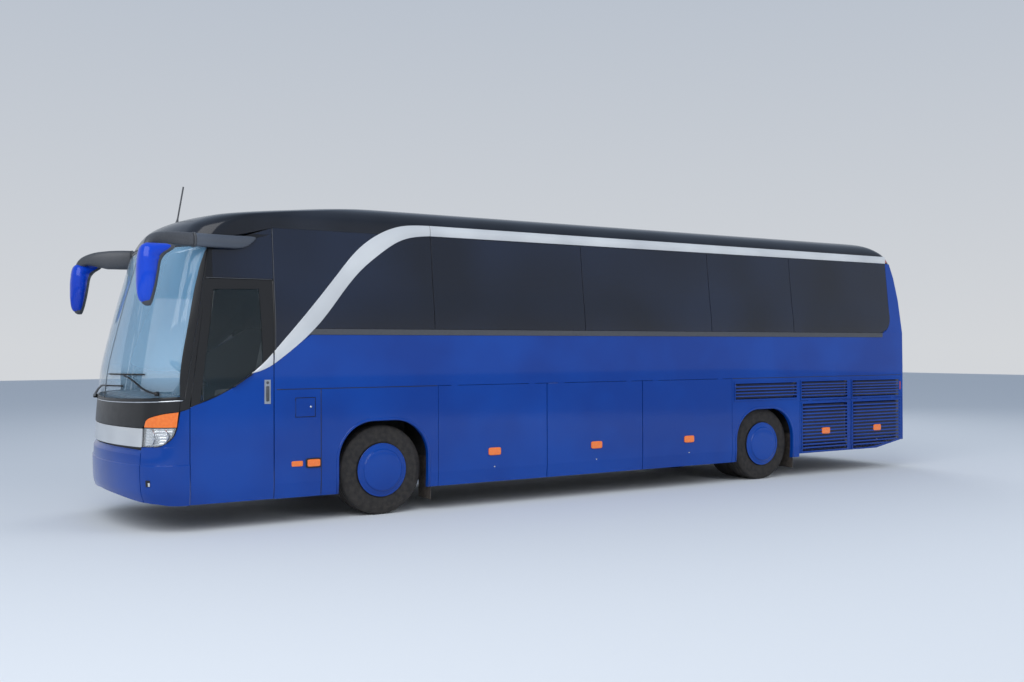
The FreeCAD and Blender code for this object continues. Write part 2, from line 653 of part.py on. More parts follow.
lamp_span = lamp_prism(s.lamp_low, s.lamp_top, s.seat_gap)
frame_zone = nose_zone(s.bumper_top + s.panel_gap / 2, s.cant_high)
nose_frame = lower_skin.common(frame_zone)
nose_frame = nose_frame.cut([rebate_skin.common(screen_prism(-s.seat_gap)),
                             screen_prism(s.screen_rebate), lamp_span, mirrored(lamp_span)])
door_lugs = [brick((half_wide - s.lug_deep, half_wide),
                   (door_front_y - s.panel_gap - s.lug_deep, door_front_y - s.seat_gap),
                   (height, height + s.lug_long))
             for height in (s.door_lug_low, s.door_lug_high)]
feature("nose_frame", nose_frame.fuse(door_lugs))
feature("windscreen", glass_skin.common(screen_prism(0)))

tow_window_half = s.tow_window / 2
tow_hole = brick((s.tow_across - tow_window_half, s.tow_across + tow_window_half),
                 (nose_y - s.overrun, nose_y + s.nose_rake * 2),
                 (s.tow_high - tow_window_half, s.tow_high + tow_window_half))
bumper = lower_skin.common(nose_zone(s.sill_high, s.bumper_top - s.panel_gap / 2))
under_nose = Part.makeCylinder(half_wide * half_wide / s.bumper_arch, s.body_long)
under_nose.Placement = FreeCAD.Placement(
    Vector(0, nose_y - s.body_long / 2,
           s.sill_high + s.bumper_arch - half_wide * half_wide / s.bumper_arch),
    FreeCAD.Rotation(Vector(1, 0, 0), -90))
feature("front_bumper", bumper.cut([tow_hole, under_nose]))

lamps = lower_skin.common(lamp_prism(s.lamp_low, s.lamp_top, 0))
clear_part = brick((0, s.body_wide), (nose_y, 0), (0, s.lamp_mid - s.seat_gap / 2))
turn_part = brick((0, s.body_wide), (nose_y, 0), (s.lamp_mid + s.seat_gap / 2, s.roof_high))
feature("headlamps", pair(lamps.common(clear_part)))
turn_lamp = lamps.common(turn_part)

# Tail: wall with the rear light, the engine lid's opening and the lamp pockets
tail_points = list(tail_edge) + [(tail_y + s.overrun, s.cant_high),
                                 (tail_y + s.overrun, s.sill_high)]
tail_zone = prism(tail_points, "x", -s.body_wide, s.body_wide)


def rear_view(half, low, high, grow, radius):
    """A rounded rectangle seen from behind, through the tail wall."""
    return prism([(-half - grow, low - grow, radius), (half + grow, low - grow, radius),
                  (half + grow, high + grow, radius), (-half - grow, high + grow, radius)],
                 "y", tail_y - s.tail_rake - s.wall_thick * 2, tail_y + s.overrun)


lamp_round = s.door_frame / 2
tail_glass_zone = rear_view(s.tail_glass_half, s.tail_glass_low, s.tail_glass_top, 0,
                            s.glass_corner / 2)
tail_light_hole = rear_view(s.tail_glass_half, s.tail_glass_low, s.tail_glass_top,
                            -s.screen_rebate, lamp_round)
tail_rebate = rebate_skin.common(rear_view(s.tail_glass_half, s.tail_glass_low,
                                           s.tail_glass_top, s.seat_gap, s.glass_corner / 2))
lid_hole = rear_view(s.lid_half, s.lid_low, s.lid_top, s.panel_gap, lamp_round)
lamp_near_share, lamp_far_share = 0.5, 1.8


def tail_lamp_block(grow):
    """The upright lamp between the engine lid and the tail's corner."""
    return brick((s.lid_half + s.tail_lamp_wide * lamp_near_share - grow,
                  s.lid_half + s.tail_lamp_wide * lamp_far_share + grow),
                 (tail_y - s.tail_corner - s.wall_thick, tail_y + s.overrun),
                 (s.tail_lamp_low - grow, s.tail_lamp_high + grow))


tail_lamp_hole = tail_lamp_block(s.seat_gap)
under_tail_zone = prism([(behind(s.service_two), s.sill_high - s.overrun),
                         (tail_y + s.overrun, s.sill_high - s.overrun),
                         (tail_y + s.overrun, tail_cut_high),
                         (behind(s.service_end), s.service_low + s.tail_sweep)],
                        "x", -s.body_wide, s.body_wide)
tail_wall = lower_skin.common(tail_zone)
tail_wall = tail_wall.cut([tail_light_hole, tail_rebate, lid_hole, tail_lamp_hole,
                           mirrored(tail_lamp_hole), under_tail_zone])
for side in (1, -1):
    lug_x = sorted((side * (s.lid_half - s.lug_in), side * (s.lid_half - s.lug_in - s.lug_long)))
    lug = brick(lug_x, (tail_y - s.tail_rake - s.wall_thick, tail_y + s.overrun),
                (s.lid_top + s.seat_gap, s.lid_top + s.panel_gap))
    tail_wall = tail_wall.fuse(lug.common(lower_skin))
feature("tail_wall", tail_wall)
feature("tail_lamps", pair(glass_skin.common(tail_lamp_block(0))))

# Glass of both flanks and the rear light, one pane to each opening
pane_sheet = side_sheet(0, s.glass_thick, nose_y, tail_y)
panes = [pane_sheet.common(flank_cut(pane_outline(index, 0))) for index in range(pane_count)]
panes.append(pane_sheet.common(flank_cut(quarter_outline(0))))
both_sides = panes + [mirrored(pane) for pane in panes]
tail_pane = glass_skin.common(tail_glass_zone)
feature("window_glass", Part.makeCompound(both_sides + [tail_pane]))

# Silver band: straight over the windows, then one long sweep down to the door
sweep_upper_shares = ((0.0, 1.0), (0.22, 0.985), (0.38, 0.922), (0.52, 0.812), (0.655, 0.635),
                      (0.80, 0.376), (0.92, 0.125), (1.0, 0.0))
sweep_lower_shares = ((0.0, 1.0), (0.22, 0.96), (0.36, 0.855), (0.48, 0.715), (0.60, 0.52),
                      (0.73, 0.29), (0.83, 0.172), (0.96, 0.03))


tip_rise_share = 2.4


def sweep_points(shares, top):
    """Points of one edge of the sweep, from the straight part down to the tip."""
    start_y = behind(s.band_sweep_start)
    tip_y = behind(-s.band_tip)
    tip_z = s.waist_seam + s.door_frame * tip_rise_share
    return [Vector(0, start_y + along * (tip_y - start_y), tip_z + rise * (top - tip_z))
            for along, rise in shares]


def curve(points):
    """One smooth edge through the points."""
    line = Part.BSplineCurve()
    line.interpolate(points)
    return line.toShape()


def band_face():
    """Side view of the band as a face in the plane x = 0."""
    upper = sweep_points(sweep_upper_shares, s.band_high)
    lower = sweep_points(sweep_lower_shares, s.band_low)
    end_y = behind(s.glass_end)
    corners = [Vector(0, end_y, s.band_high), Vector(0, end_y, s.band_low)]
    edges = [curve(upper), Part.makeLine(upper[-1], lower[-1]), curve(lower),
             Part.makeLine(lower[0], corners[1]), Part.makeLine(corners[1], corners[0]),
             Part.makeLine(corners[0], upper[0])]
    return Part.Face(Part.Wire(Part.__sortEdges__(edges)))


def lean_x(height, outside):
    """How far out the leaning flank stands at a height above the belt."""
    lean = (height - s.belt_high) / (s.cant_high - s.belt_high) * s.side_lean
    return half_wide - lean + outside


band_prism = band_face().extrude(Vector(s.body_wide, 0, 0))
band_skin = prism([
    (half_wide + s.seat_gap, s.waist_seam), (half_wide + s.seat_gap, s.belt_high),
    (lean_x(s.roof_high, s.seat_gap), s.roof_high),
    (lean_x(s.roof_high, s.band_thick), s.roof_high), (half_wide + s.band_thick, s.belt_high),
    (half_wide + s.band_thick, s.waist_seam)], "y", nose_y, tail_y)
band = band_skin.common(band_prism)
door_side = flank_cut(door_outline(s.panel_gap / 2))
left_band = band.cut(door_side)
feature("side_bands", Part.makeCompound([left_band, mirrored(band.cut(flank_cut(
    door_outline(s.door_lead))))]))

# Doors and flaps. A flap keeps the flank's own thickness and is set in by the panel gap.
door_sheet = side_sheet(0, s.wall_thick, nose_y, tail_y)
lap_share = 1 / 3
glass_lap = s.pillar_wide * lap_share
door_rebate = side_sheet(-s.overrun, s.glass_thick + s.seat_gap, nose_y, tail_y)


def glazed(panel_points, glass_points, glass_shrunk, glass_grown):
    """A door leaf with a rebate for its glass, and the glass itself."""
    leaf = door_sheet.common(flank_cut(panel_points))
    leaf = leaf.cut([door_rebate.common(flank_cut(glass_grown)), flank_cut(glass_shrunk)])
    return leaf, door_sheet.common(flank_cut(glass_points)).common(pane_sheet)


driver_leaf, driver_pane = glazed(door_outline(0), door_glass_outline(0),
                                  door_glass_outline(-glass_lap),
                                  door_glass_outline(s.seat_gap))
feature("driver_door", driver_leaf)
feature("driver_door_glass", driver_pane)


def passenger_glass(shrink):
    """The light of the front passenger door."""
    low = s.door_glass_low + shrink
    return [(door_front_y + s.door_edge + shrink, low, lamp_round),
            (door_rear_y - s.door_edge - shrink, low, lamp_round),
            (door_rear_y - s.door_edge - shrink, s.door_top - s.door_edge - shrink,
             lamp_round),
            (door_head_y + s.door_edge + shrink, s.door_top - s.door_edge - shrink,
             lamp_round)]


def mid_glass(shrink):
    """The light of the second passenger door."""
    front_y = mid_front_y + s.door_edge + shrink
    rear_y = mid_rear_y - s.door_edge - shrink
    low = s.door_glass_low + shrink
    high = s.mid_door_top - s.door_edge - shrink
    return [(front_y, low, lamp_round), (rear_y, low, lamp_round),
            (rear_y, high, lamp_round), (front_y, high, lamp_round)]


# In radii: how far the post stands in from the wall and back from the jamb, and how big an
# arm's eye is
post_in_share, post_back_share, eye_share = 3, 2.5, 1.6


def swing_post(front_edge_y):
    """Where a passenger door's post stands: inside the wall, just behind the front jamb."""
    return (inner_half - s.post_radius * post_in_share,
            front_edge_y + s.post_radius * post_back_share)


def swing_arm(front_edge_y, reach, floor, top):
    """Post with two arms that lie along the closed door, each ending in an eye."""
    post_x, post_y = swing_post(front_edge_y)
    foot = floor + s.seat_gap
    post = Part.makeCylinder(s.post_radius, top - foot, Vector(post_x, post_y, foot))
    solids = [post]
    eyes = []
    for height in (s.arm_low, s.arm_low + s.arm_rise):
        solids.append(brick((post_x - s.arm_radius, post_x + s.arm_radius),
                            (post_y, post_y + reach),
                            (height - s.arm_radius, height + s.arm_radius)))
        solids.append(Part.makeCylinder(s.arm_radius * eye_share, s.arm_radius * 2,
                                        Vector(post_x, post_y + reach,
                                               height - s.arm_radius)))
        eyes.append(Part.makeCylinder(s.pin_radius + s.pin_play, s.arm_radius * 4,
                                      Vector(post_x, post_y + reach,
                                             height - s.arm_radius * 2)))
    return solids[0].fuse(solids[1:]).cut(eyes).removeSplitter()


def swing_brackets(front_edge_y, reach):
    """On the door: a pin through each arm's eye, held by two ears from the leaf."""
    post_x, post_y = swing_post(front_edge_y)
    solids = []
    for height in (s.arm_low, s.arm_low + s.arm_rise):
        play = s.panel_gap / 2
        ear = s.arm_radius / 2
        for foot in (height - s.arm_radius - play - ear, height + s.arm_radius + play):
            solids.append(brick((post_x - s.arm_radius, inner_half),
                                (post_y + reach - s.arm_radius, post_y + reach + s.arm_radius),
                                (foot, foot + ear)))
        solids.append(Part.makeCylinder(s.pin_radius, (s.arm_radius + play + ear) * 2,
                                        Vector(post_x, post_y + reach,
                                               height - s.arm_radius - play - ear)))
    return solids


front_leaf, front_pane = glazed(door_outline(0), passenger_glass(0),
                                passenger_glass(glass_lap), passenger_glass(-s.seat_gap))
front_leaf = front_leaf.fuse(swing_brackets(door_front_y, s.door_swing))
feature("front_door", mirrored(front_leaf))
feature("front_door_glass", mirrored(front_pane))
feature("front_door_arm", mirrored(swing_arm(door_front_y, s.door_swing,
                                             s.cab_floor - s.step_rise * 2,
                                             s.door_top - s.door_frame)))

mid_leaf, mid_pane = glazed(mid_door_outline(0), mid_glass(0), mid_glass(glass_lap),
                            mid_glass(-s.seat_gap))
mid_leaf = mid_leaf.fuse(swing_brackets(mid_front_y, s.mid_swing))
feature("mid_door", mirrored(mid_leaf))
feature("mid_door_glass", mirrored(mid_pane))
feature("mid_door_arm", mirrored(swing_arm(mid_front_y, s.mid_swing, s.bay_floor_high,
                                           s.mid_door_top - s.door_frame)))


def marker(front_y):
    """A flat side marker lamp that stands on the flank's outer face."""
    return brick((half_wide, half_wide + s.marker_thick), (front_y, front_y + s.marker_long),
                 (s.marker_centre - s.marker_tall / 2, s.marker_centre + s.marker_tall / 2))


def centred_marker(start, end):
    """A marker lamp in the middle of a flap."""
    return marker((behind(start) + behind(end) - s.marker_long) / 2)


for number, (start, end) in enumerate(zip(bay_seams, bay_seams[1:]), start=1):
    points = bay_outline(start, end, s.sill_high, s.waist_seam, s.flap_gap)
    leaf = door_sheet.common(flank_cut(points)).fuse(centred_marker(start, end))
    feature("luggage_flap_left_%d" % number, leaf)
    if number < 3:
        feature("luggage_flap_right_%d" % number, mirrored(leaf))

service_leaf = door_sheet.common(flank_cut(service_outline(s.flap_gap)))
service_leaf = service_leaf.cut(louvres(s.service_one + s.grille_edge, s.service_two - s.grille_edge,
                                        s.service_low + s.grille_edge,
                                        s.service_top - s.grille_edge / 2, 0))
service_leaf = service_leaf.fuse(centred_marker(s.service_one, s.service_two))
feature("service_flap_left_1", service_leaf)
tail_leaf = door_sheet.common(flank_cut(tail_flap_outline(s.flap_gap)))
tail_leaf = tail_leaf.cut(louvres(s.service_two + s.grille_edge, s.service_end - s.grille_edge,
                                  s.service_low + s.tail_sweep,
                                  s.service_top - s.grille_edge / 2, 0))
tail_leaf = tail_leaf.fuse(centred_marker(s.service_two, s.service_end))
feature("service_flap_left_2", tail_leaf)
feature("service_flap_right_1", mirrored(service_leaf))
feature("service_flap_right_2", mirrored(tail_leaf))

fuel_leaf = door_sheet.common(flank_cut(fuel_outline))
fuel_leaf = fuel_leaf.common(brick((half_wide - s.wall_thick / 2, s.body_wide),
                                   (nose_y, tail_y), (0, s.roof_high)))
feature("fuel_flap", fuel_leaf)

lid = lower_skin.common(rear_view(s.lid_half, s.lid_low, s.lid_top, 0, lamp_round))
lid_slots = []
lid_slot_count = int((s.lid_top - s.lid_slots_low) / s.slot_pitch / 2)
for number in range(lid_slot_count):
    foot = s.lid_slots_low + number * s.slot_pitch
    lid_slots.append(brick((-s.lid_half + s.grille_edge * 2, s.lid_half - s.grille_edge * 2),
                           (tail_y - s.slot_deep, tail_y + s.overrun),
                           (foot, foot + s.slot_tall)))
feature("engine_lid", lid.cut(lid_slots))


# Floors, chassis and the pieces that are blocks, cylinders and their joins


def block(name, x_span, y_span, z_span):
    """A block whose three spans are pairs of expression texts."""
    item = doc.addObject("Part::Box", name)
    for key, span, letter in (("Length", x_span, "x"), ("Width", y_span, "y"),
                              ("Height", z_span, "z")):
        item.setExpression(key, "(%s) - (%s)" % (span[1], span[0]))
        item.setExpression("Placement.Base.%s" % letter, span[0])
    return item


AXES = {"x": FreeCAD.Rotation(Vector(0, 1, 0), 90), "y": FreeCAD.Rotation(Vector(1, 0, 0), -90),
        "z": FreeCAD.Rotation()}


def rod(name, radius, length, at, axis):
    """A cylinder that starts at a point and runs along +axis, all as expression texts."""
    item = doc.addObject("Part::Cylinder", name)
    item.Placement = FreeCAD.Placement(Vector(0, 0, 0), AXES[axis])
    item.setExpression("Radius", radius)
    item.setExpression("Height", length)
    for letter, text in zip("xyz", at):
        item.setExpression("Placement.Base.%s" % letter, text)
    return item


def joined(name, items):
    """Several pieces fused into one."""
    item = doc.addObject("Part::MultiFuse", name)
    item.Shapes = items
    return item


def without(name, base, tool):
    """One piece less another."""
    item = doc.addObject("Part::Cut", name)
    item.Base = base
    item.Tool = tool
    return item


def across(half_text):
    """A span that is the same on both sides of the bus."""
    return "-(%s)" % half_text, half_text


CAB_REAR = "%s - sizes.cab_floor_ahead" % FRONT_AXLE
CAB_FRONT = "%s - sizes.dash_ahead - sizes.dash_deep" % FRONT_AXLE
FLOOR_LOW = "sizes.floor_high - sizes.floor_thick"
DECK_HALF = "%s - sizes.panel_gap" % INNER
BAY_HALF = "%s - sizes.sill_tuck - sizes.panel_gap" % INNER
WIDE_HALF = "%s - sizes.seat_gap" % INNER
BAY_START = "%s + sizes.bay_one" % FRONT_AXLE
BAY_END = "%s + sizes.bay_end" % FRONT_AXLE
STAIR_X = "-(%s)" % BAY_HALF

deck = block("deck", across(WIDE_HALF),
             (CAB_REAR, "sizes.body_long / 2 - sizes.tail_corner * 2"),
             (FLOOR_LOW, "sizes.floor_high"))
cab_plate = block("cab_plate", ("-sizes.aisle_half", DECK_HALF),
                  (CAB_FRONT, "%s + sizes.floor_thick" % CAB_REAR),
                  ("sizes.cab_floor - sizes.bulkhead_thick", "sizes.cab_floor"))
cab_riser = block("cab_riser", across(DECK_HALF),
                  (CAB_REAR, "%s + sizes.floor_thick" % CAB_REAR),
                  ("sizes.cab_floor - sizes.bulkhead_thick", "sizes.floor_high"))
stair_low = block("stair_low", (STAIR_X, "%s + sizes.step_run + sizes.bulkhead_thick" % STAIR_X),
                  ("%s - sizes.door_front" % FRONT_AXLE, CAB_REAR),
                  ("sizes.cab_floor - sizes.step_rise * 2 - sizes.bulkhead_thick",
                   "sizes.cab_floor - sizes.step_rise * 2"))
riser_low = block("riser_low", ("%s + sizes.step_run" % STAIR_X,
                                "%s + sizes.step_run + sizes.bulkhead_thick" % STAIR_X),
                  ("%s - sizes.door_front" % FRONT_AXLE, CAB_REAR),
                  ("sizes.cab_floor - sizes.step_rise * 2 - sizes.bulkhead_thick",
                   "sizes.cab_floor - sizes.step_rise"))
stair_mid = block("stair_mid", ("%s + sizes.step_run" % STAIR_X,
                                "%s + sizes.step_run * 2 + sizes.bulkhead_thick" % STAIR_X),
                  ("%s - sizes.door_front" % FRONT_AXLE, CAB_REAR),
                  ("sizes.cab_floor - sizes.step_rise - sizes.bulkhead_thick",
                   "sizes.cab_floor - sizes.step_rise"))
riser_mid = block("riser_mid", ("%s + sizes.step_run * 2" % STAIR_X,
                                "%s + sizes.step_run * 2 + sizes.bulkhead_thick" % STAIR_X),
                  ("%s - sizes.door_front" % FRONT_AXLE, CAB_REAR),
                  ("sizes.cab_floor - sizes.step_rise - sizes.bulkhead_thick",
                   "sizes.cab_floor"))
cab_aisle = block("cab_aisle", ("%s + sizes.step_run * 2" % STAIR_X, "-sizes.aisle_half / 2"),
                  (CAB_FRONT, "%s + sizes.floor_thick" % CAB_REAR),
                  ("sizes.cab_floor - sizes.bulkhead_thick", "sizes.cab_floor"))
stair_back = block("stair_back", (STAIR_X, "%s + sizes.step_run * 2 + sizes.bulkhead_thick"
                                  % STAIR_X),
                   (CAB_REAR, "%s + sizes.bulkhead_thick" % CAB_REAR),
                   ("sizes.cab_floor - sizes.step_rise * 2 - sizes.bulkhead_thick",
                    "sizes.floor_high"))
floor_all = joined("floor_all", [deck, cab_plate, cab_riser, stair_low, riser_low, stair_mid,
                                 riser_mid, cab_aisle, stair_back])
MID_FRONT = "%s + sizes.mid_door_start" % FRONT_AXLE
stairwell = block("stairwell", ("-%s" % HALF, "-%s + sizes.mid_door_wide" % HALF),
                  (MID_FRONT, "%s + sizes.mid_door_wide" % MID_FRONT),
                  ("%s - sizes.overrun" % FLOOR_LOW, "sizes.floor_high + sizes.overrun"))
notch_left = block("notch_left", (DECK_HALF, HALF), (BAY_START, BAY_END),
                   ("%s - sizes.overrun" % FLOOR_LOW, "sizes.floor_high + sizes.overrun"))
notch_right = block("notch_right", ("-%s" % HALF, "-(%s)" % DECK_HALF), (BAY_START, BAY_END),
                    ("%s - sizes.overrun" % FLOOR_LOW, "sizes.floor_high + sizes.overrun"))
floor_cut = without("floor_cut", floor_all,
                    joined("floor_notches", [stairwell, notch_left, notch_right]))
inner_room = hull(s.wall_thick + s.seat_gap, s.sill_high, s.cant_high)


def inside(item, label):
    """A piece trimmed to the room inside the shell, which it then just clears."""
    doc.recompute()
    return feature(label, item.Shape.common(inner_room))


inside(floor_cut, "floor_deck")

bay_floor = block("bay_floor", across(BAY_HALF), (BAY_START, BAY_END),
                  ("sizes.bay_floor_high - sizes.bay_floor_thick", "sizes.bay_floor_high"))
walls = [bay_floor]
for number, seam in enumerate(("bay_one", "bay_two", "bay_three", "bay_end")):
    centre = "%s + sizes.%s" % (FRONT_AXLE, seam)
    walls.append(block("bulkhead_%d" % number, across(BAY_HALF),
                       ("%s - sizes.bulkhead_thick / 2" % centre,
                        "%s + sizes.bulkhead_thick / 2" % centre),
                       ("sizes.bay_floor_high - sizes.bay_floor_thick", FLOOR_LOW)))
engine_mount_shares = (("near", 0.15), ("far", 0.75))
for number, side in enumerate((1, -1)):
    x_low = "%d * sizes.rail_centre - sizes.rail_wide / 2" % side
    x_high = "%d * sizes.rail_centre + sizes.rail_wide / 2" % side
    walls.append(block("front_rail_%d" % number, (x_low, x_high),
                       ("-sizes.body_long / 2", BAY_START),
                       ("sizes.rail_low", "sizes.rail_low + sizes.rail_deep")))
    walls.append(block("rear_rail_%d" % number, (x_low, x_high),
                       (BAY_END, "sizes.body_long / 2 - sizes.tail_corner"),
                       ("sizes.rail_low + sizes.rail_deep", "sizes.rail_low + sizes.rail_deep * 2")))
    mount_x = (("sizes.engine_wide / 2 + sizes.seat_gap", x_low) if side > 0 else
               (x_high, "-sizes.engine_wide / 2 - sizes.seat_gap"))
    for end, share in engine_mount_shares:
        mount_y = "%s + sizes.engine_behind + sizes.engine_long * %g" % (REAR_AXLE, share)
        walls.append(block("engine_mount_%s_%d" % (end, number), mount_x,
                           (mount_y, "%s + sizes.engine_mount" % mount_y),
                           ("sizes.rail_low + sizes.rail_deep",
                            "sizes.rail_low + sizes.rail_deep + sizes.engine_mount")))
NOSE_BEAM = "sizes.nose_beam_in - sizes.body_long / 2"
walls.append(block("nose_beam", across("sizes.tow_across + sizes.tow_boss"),
                   (NOSE_BEAM, "%s + sizes.rail_wide" % NOSE_BEAM),
                   ("sizes.tow_high - sizes.tow_boss", "sizes.rail_low + sizes.rail_deep")))
tow_foot = ("sizes.tow_across", "%s - sizes.tow_long" % NOSE_BEAM, "sizes.tow_high")
keep(without("tow_socket_cut", rod("tow_boss_body", "sizes.tow_boss", "sizes.tow_long", tow_foot, "y"),
             rod("tow_drill", "sizes.tow_bore", "sizes.tow_long", tow_foot, "y")), "tow_socket")
underframe_all = joined("underframe_all", walls)
stair_hole = block("stair_hole", ("-%s" % HALF, "-%s + sizes.mid_door_wide" % HALF),
                   (MID_FRONT, "%s + sizes.mid_door_wide" % MID_FRONT),
                   ("sizes.bay_floor_high", "sizes.floor_high"))
underframe_cut = without("underframe_cut", underframe_all, stair_hole)
stairs = [underframe_cut]
STEP_X = "-(%s) + sizes.step_run" % DECK_HALF
step_count = 3
STEP_Z = "(sizes.floor_high - sizes.bay_floor_high) / %d" % step_count
well_y = ("%s - sizes.bulkhead_thick" % MID_FRONT,
          "%s + sizes.mid_door_wide + sizes.bulkhead_thick" % MID_FRONT)
for step in (1, 2):
    x_text = "%s + sizes.tread_run * %d" % (STEP_X, step - 1)
    base = "sizes.bay_floor_high + %s * %d" % (STEP_Z, step - 1)
    stairs.append(block("mid_riser_%d" % step, (x_text, "%s + sizes.bulkhead_thick" % x_text),
                        well_y, ("%s - sizes.bulkhead_thick" % base, "%s + %s" % (base, STEP_Z))))
    stairs.append(block("mid_tread_%d" % step,
                        (x_text, "%s + sizes.tread_run + sizes.bulkhead_thick" % x_text),
                        well_y, ("%s + %s - sizes.bulkhead_thick" % (base, STEP_Z),
                                 "%s + %s" % (base, STEP_Z))))
last_x = "%s + sizes.tread_run * 2" % STEP_X
stairs.append(block("mid_riser_3", (last_x, "%s + sizes.bulkhead_thick" % last_x), well_y,
                    ("sizes.floor_high - %s - sizes.bulkhead_thick" % STEP_Z, FLOOR_LOW)))
for name, y_text in (("front", well_y[0]), ("rear", "%s + sizes.mid_door_wide" % MID_FRONT)):
    stairs.append(block("mid_side_%s" % name,
                        ("-(%s)" % BAY_HALF, "%s + sizes.bulkhead_thick" % last_x),
                        (y_text, "%s + sizes.bulkhead_thick" % y_text),
                        ("sizes.bay_floor_high - sizes.bulkhead_thick", FLOOR_LOW)))
# The underframe is bolted up from parts: the bay floor, the bulkheads and the steps on it, and
# the rails ahead of the first bulkhead and behind the last
BAY_FACE_FRONT = "%s - sizes.bulkhead_thick / 2" % BAY_START
BAY_FACE_REAR = "%s + sizes.bulkhead_thick / 2" % BAY_END
frame_high = ("sizes.sill_high - sizes.overrun", "sizes.floor_high")
frame_joints = joined("frame_joints", [
    block("bay_floor_joint", across(HALF),
          ("%s - sizes.seat_gap" % BAY_FACE_FRONT, "%s + sizes.seat_gap" % BAY_FACE_REAR),
          ("sizes.bay_floor_high", "sizes.bay_floor_high + sizes.seat_gap")),
    block("front_rail_joint", across(HALF),
          ("%s - sizes.seat_gap" % BAY_FACE_FRONT, BAY_FACE_FRONT), frame_high),
    block("rear_rail_joint", across(HALF),
          (BAY_FACE_REAR, "%s + sizes.seat_gap" % BAY_FACE_REAR), frame_high)])
inside(without("underframe_parts", joined("underframe_stairs", stairs), frame_joints),
       "underframe")

housings = []
for name, axle in (("front", FRONT_AXLE), ("rear", REAR_AXLE)):
    for number, side in enumerate((1, -1)):
        inner = "sizes.housing_inner"
        outer = INNER
        span = (inner, outer) if side > 0 else ("-%s" % outer, "-%s" % inner)
        wall = "sizes.sheet_thick"
        tub = block("tub_%s_%d" % (name, number), span,
                    ("%s - sizes.housing_half - %s" % (axle, wall),
                     "%s + sizes.housing_half + %s" % (axle, wall)),
                    ("sizes.rail_low", "sizes.arch_top + %s" % wall))
        room_span = ("%s + %s" % (inner, wall), "%s + sizes.overrun" % outer)
        if side < 0:
            room_span = ("-%s - sizes.overrun" % outer, "-%s - %s" % (inner, wall))
        room = block("room_%s_%d" % (name, number), room_span,
                     ("%s - sizes.housing_half" % axle, "%s + sizes.housing_half" % axle),
                     ("sizes.rail_low - sizes.overrun", "sizes.arch_top"))
        housings.append(without("housing_%s_%d" % (name, number), tub, room))
keep(joined("housings_all", housings), "wheel_housings")

keep(block("engine_block", across("sizes.engine_wide / 2"),
           ("%s + sizes.engine_behind" % REAR_AXLE,
            "%s + sizes.engine_behind + sizes.engine_long" % REAR_AXLE),
           ("sizes.engine_low", "sizes.engine_low + sizes.engine_tall")), "engine_block")


# Wheels: bodies of revolution about their own axle, then put in place


def turned(name, points):
    """A revolved body: points are (across, radius) pairs of expression texts."""
    body = doc.addObject("PartDesign::Body", name)
    sketch = body.newObject("Sketcher::SketchObject", name + "_profile")
    plane = [item for item in body.Origin.OriginFeatures if item.Role == "XZ_Plane"][0]
    sketch.AttachmentSupport = (plane, [""])
    sketch.MapMode = "FlatFace"
    draw(sketch, points)
    turn = body.newObject("PartDesign::Revolution", name + "_turn")
    turn.Profile = sketch
    turn.ReferenceAxis = (sketch, ["H_Axis"])
    turn.Angle = 360
    return body


def number_of(text):
    """The value of an expression text, for a sketch's first position."""
    return float(sheet.evalExpression(text))


def draw(sketch, points):
    """A closed outline whose corners are each bound to two expressions."""
    values = [Vector(number_of(u), number_of(v), 0) for u, v in points]
    count = len(points)
    for index in range(count):
        sketch.addGeometry(Part.LineSegment(values[index], values[(index + 1) % count]))
    for index in range(count):
        sketch.addConstraint(Sketcher.Constraint("Coincident", index, 2, (index + 1) % count, 1))
    for index, texts in enumerate(points):
        for kind, text, value in (("DistanceX", texts[0], values[index].x),
                                  ("DistanceY", texts[1], values[index].y)):
            row = sketch.addConstraint(Sketcher.Constraint(kind, -1, 1, index, 1, value))
            if text != "0":
                sketch.setExpression("Constraints[%d]" % row, text)


def place(item, x_text, y_text, z_text, side):
    """Puts a wheel body at its axle; the driver's side faces +X, the other is turned round."""
    turn = FreeCAD.Rotation() if side > 0 else FreeCAD.Rotation(Vector(0, 0, 1), 180)
    item.Placement = FreeCAD.Placement(Vector(0, 0, 0), turn)
    item.setExpression("Placement.Base.x", x_text)
    item.setExpression("Placement.Base.y", y_text)
    item.setExpression("Placement.Base.z", z_text)


def tyre_points(shift):
    """Tyre section with sloping shoulders and bead edges."""
    edge = "sizes.tyre_wide / 2"
    shoulder = "sizes.tyre_shoulder"
    bevel = "sizes.tyre_shoulder / 4"
    return [
        ("-%s + %s / 2 + %s" % (edge, shoulder, shift), "sizes.rim_radius + sizes.seat_gap"),
        ("%s - %s / 2 + %s" % (edge, shoulder, shift), "sizes.rim_radius + sizes.seat_gap"),
        ("%s + %s" % (edge, shift), "sizes.rim_radius + %s * 2" % shoulder),
        ("%s + %s" % (edge, shift), "sizes.tyre_radius - %s * 2" % shoulder),
        ("%s - %s / 2 + %s" % (edge, shoulder, shift), "sizes.tyre_radius - " + bevel),
        ("%s - %s + %s" % (edge, shoulder, shift), "sizes.tyre_radius"),
        ("-%s + %s + %s" % (edge, shoulder, shift), "sizes.tyre_radius"),
        ("-%s + %s / 2 + %s" % (edge, shoulder, shift), "sizes.tyre_radius - " + bevel),
        ("-%s + %s" % (edge, shift), "sizes.tyre_radius - %s * 2" % shoulder),
        ("-%s + %s" % (edge, shift), "sizes.rim_radius + %s * 2" % shoulder),
    ]


# Places across a wheel: the disc's outer face, and the hub boss's two faces
DISC_FACE = "sizes.rim_wide / 4"
BOSS_FACE = "sizes.rim_wide / 3"
BOSS_BACK = "sizes.rim_wide / 12"


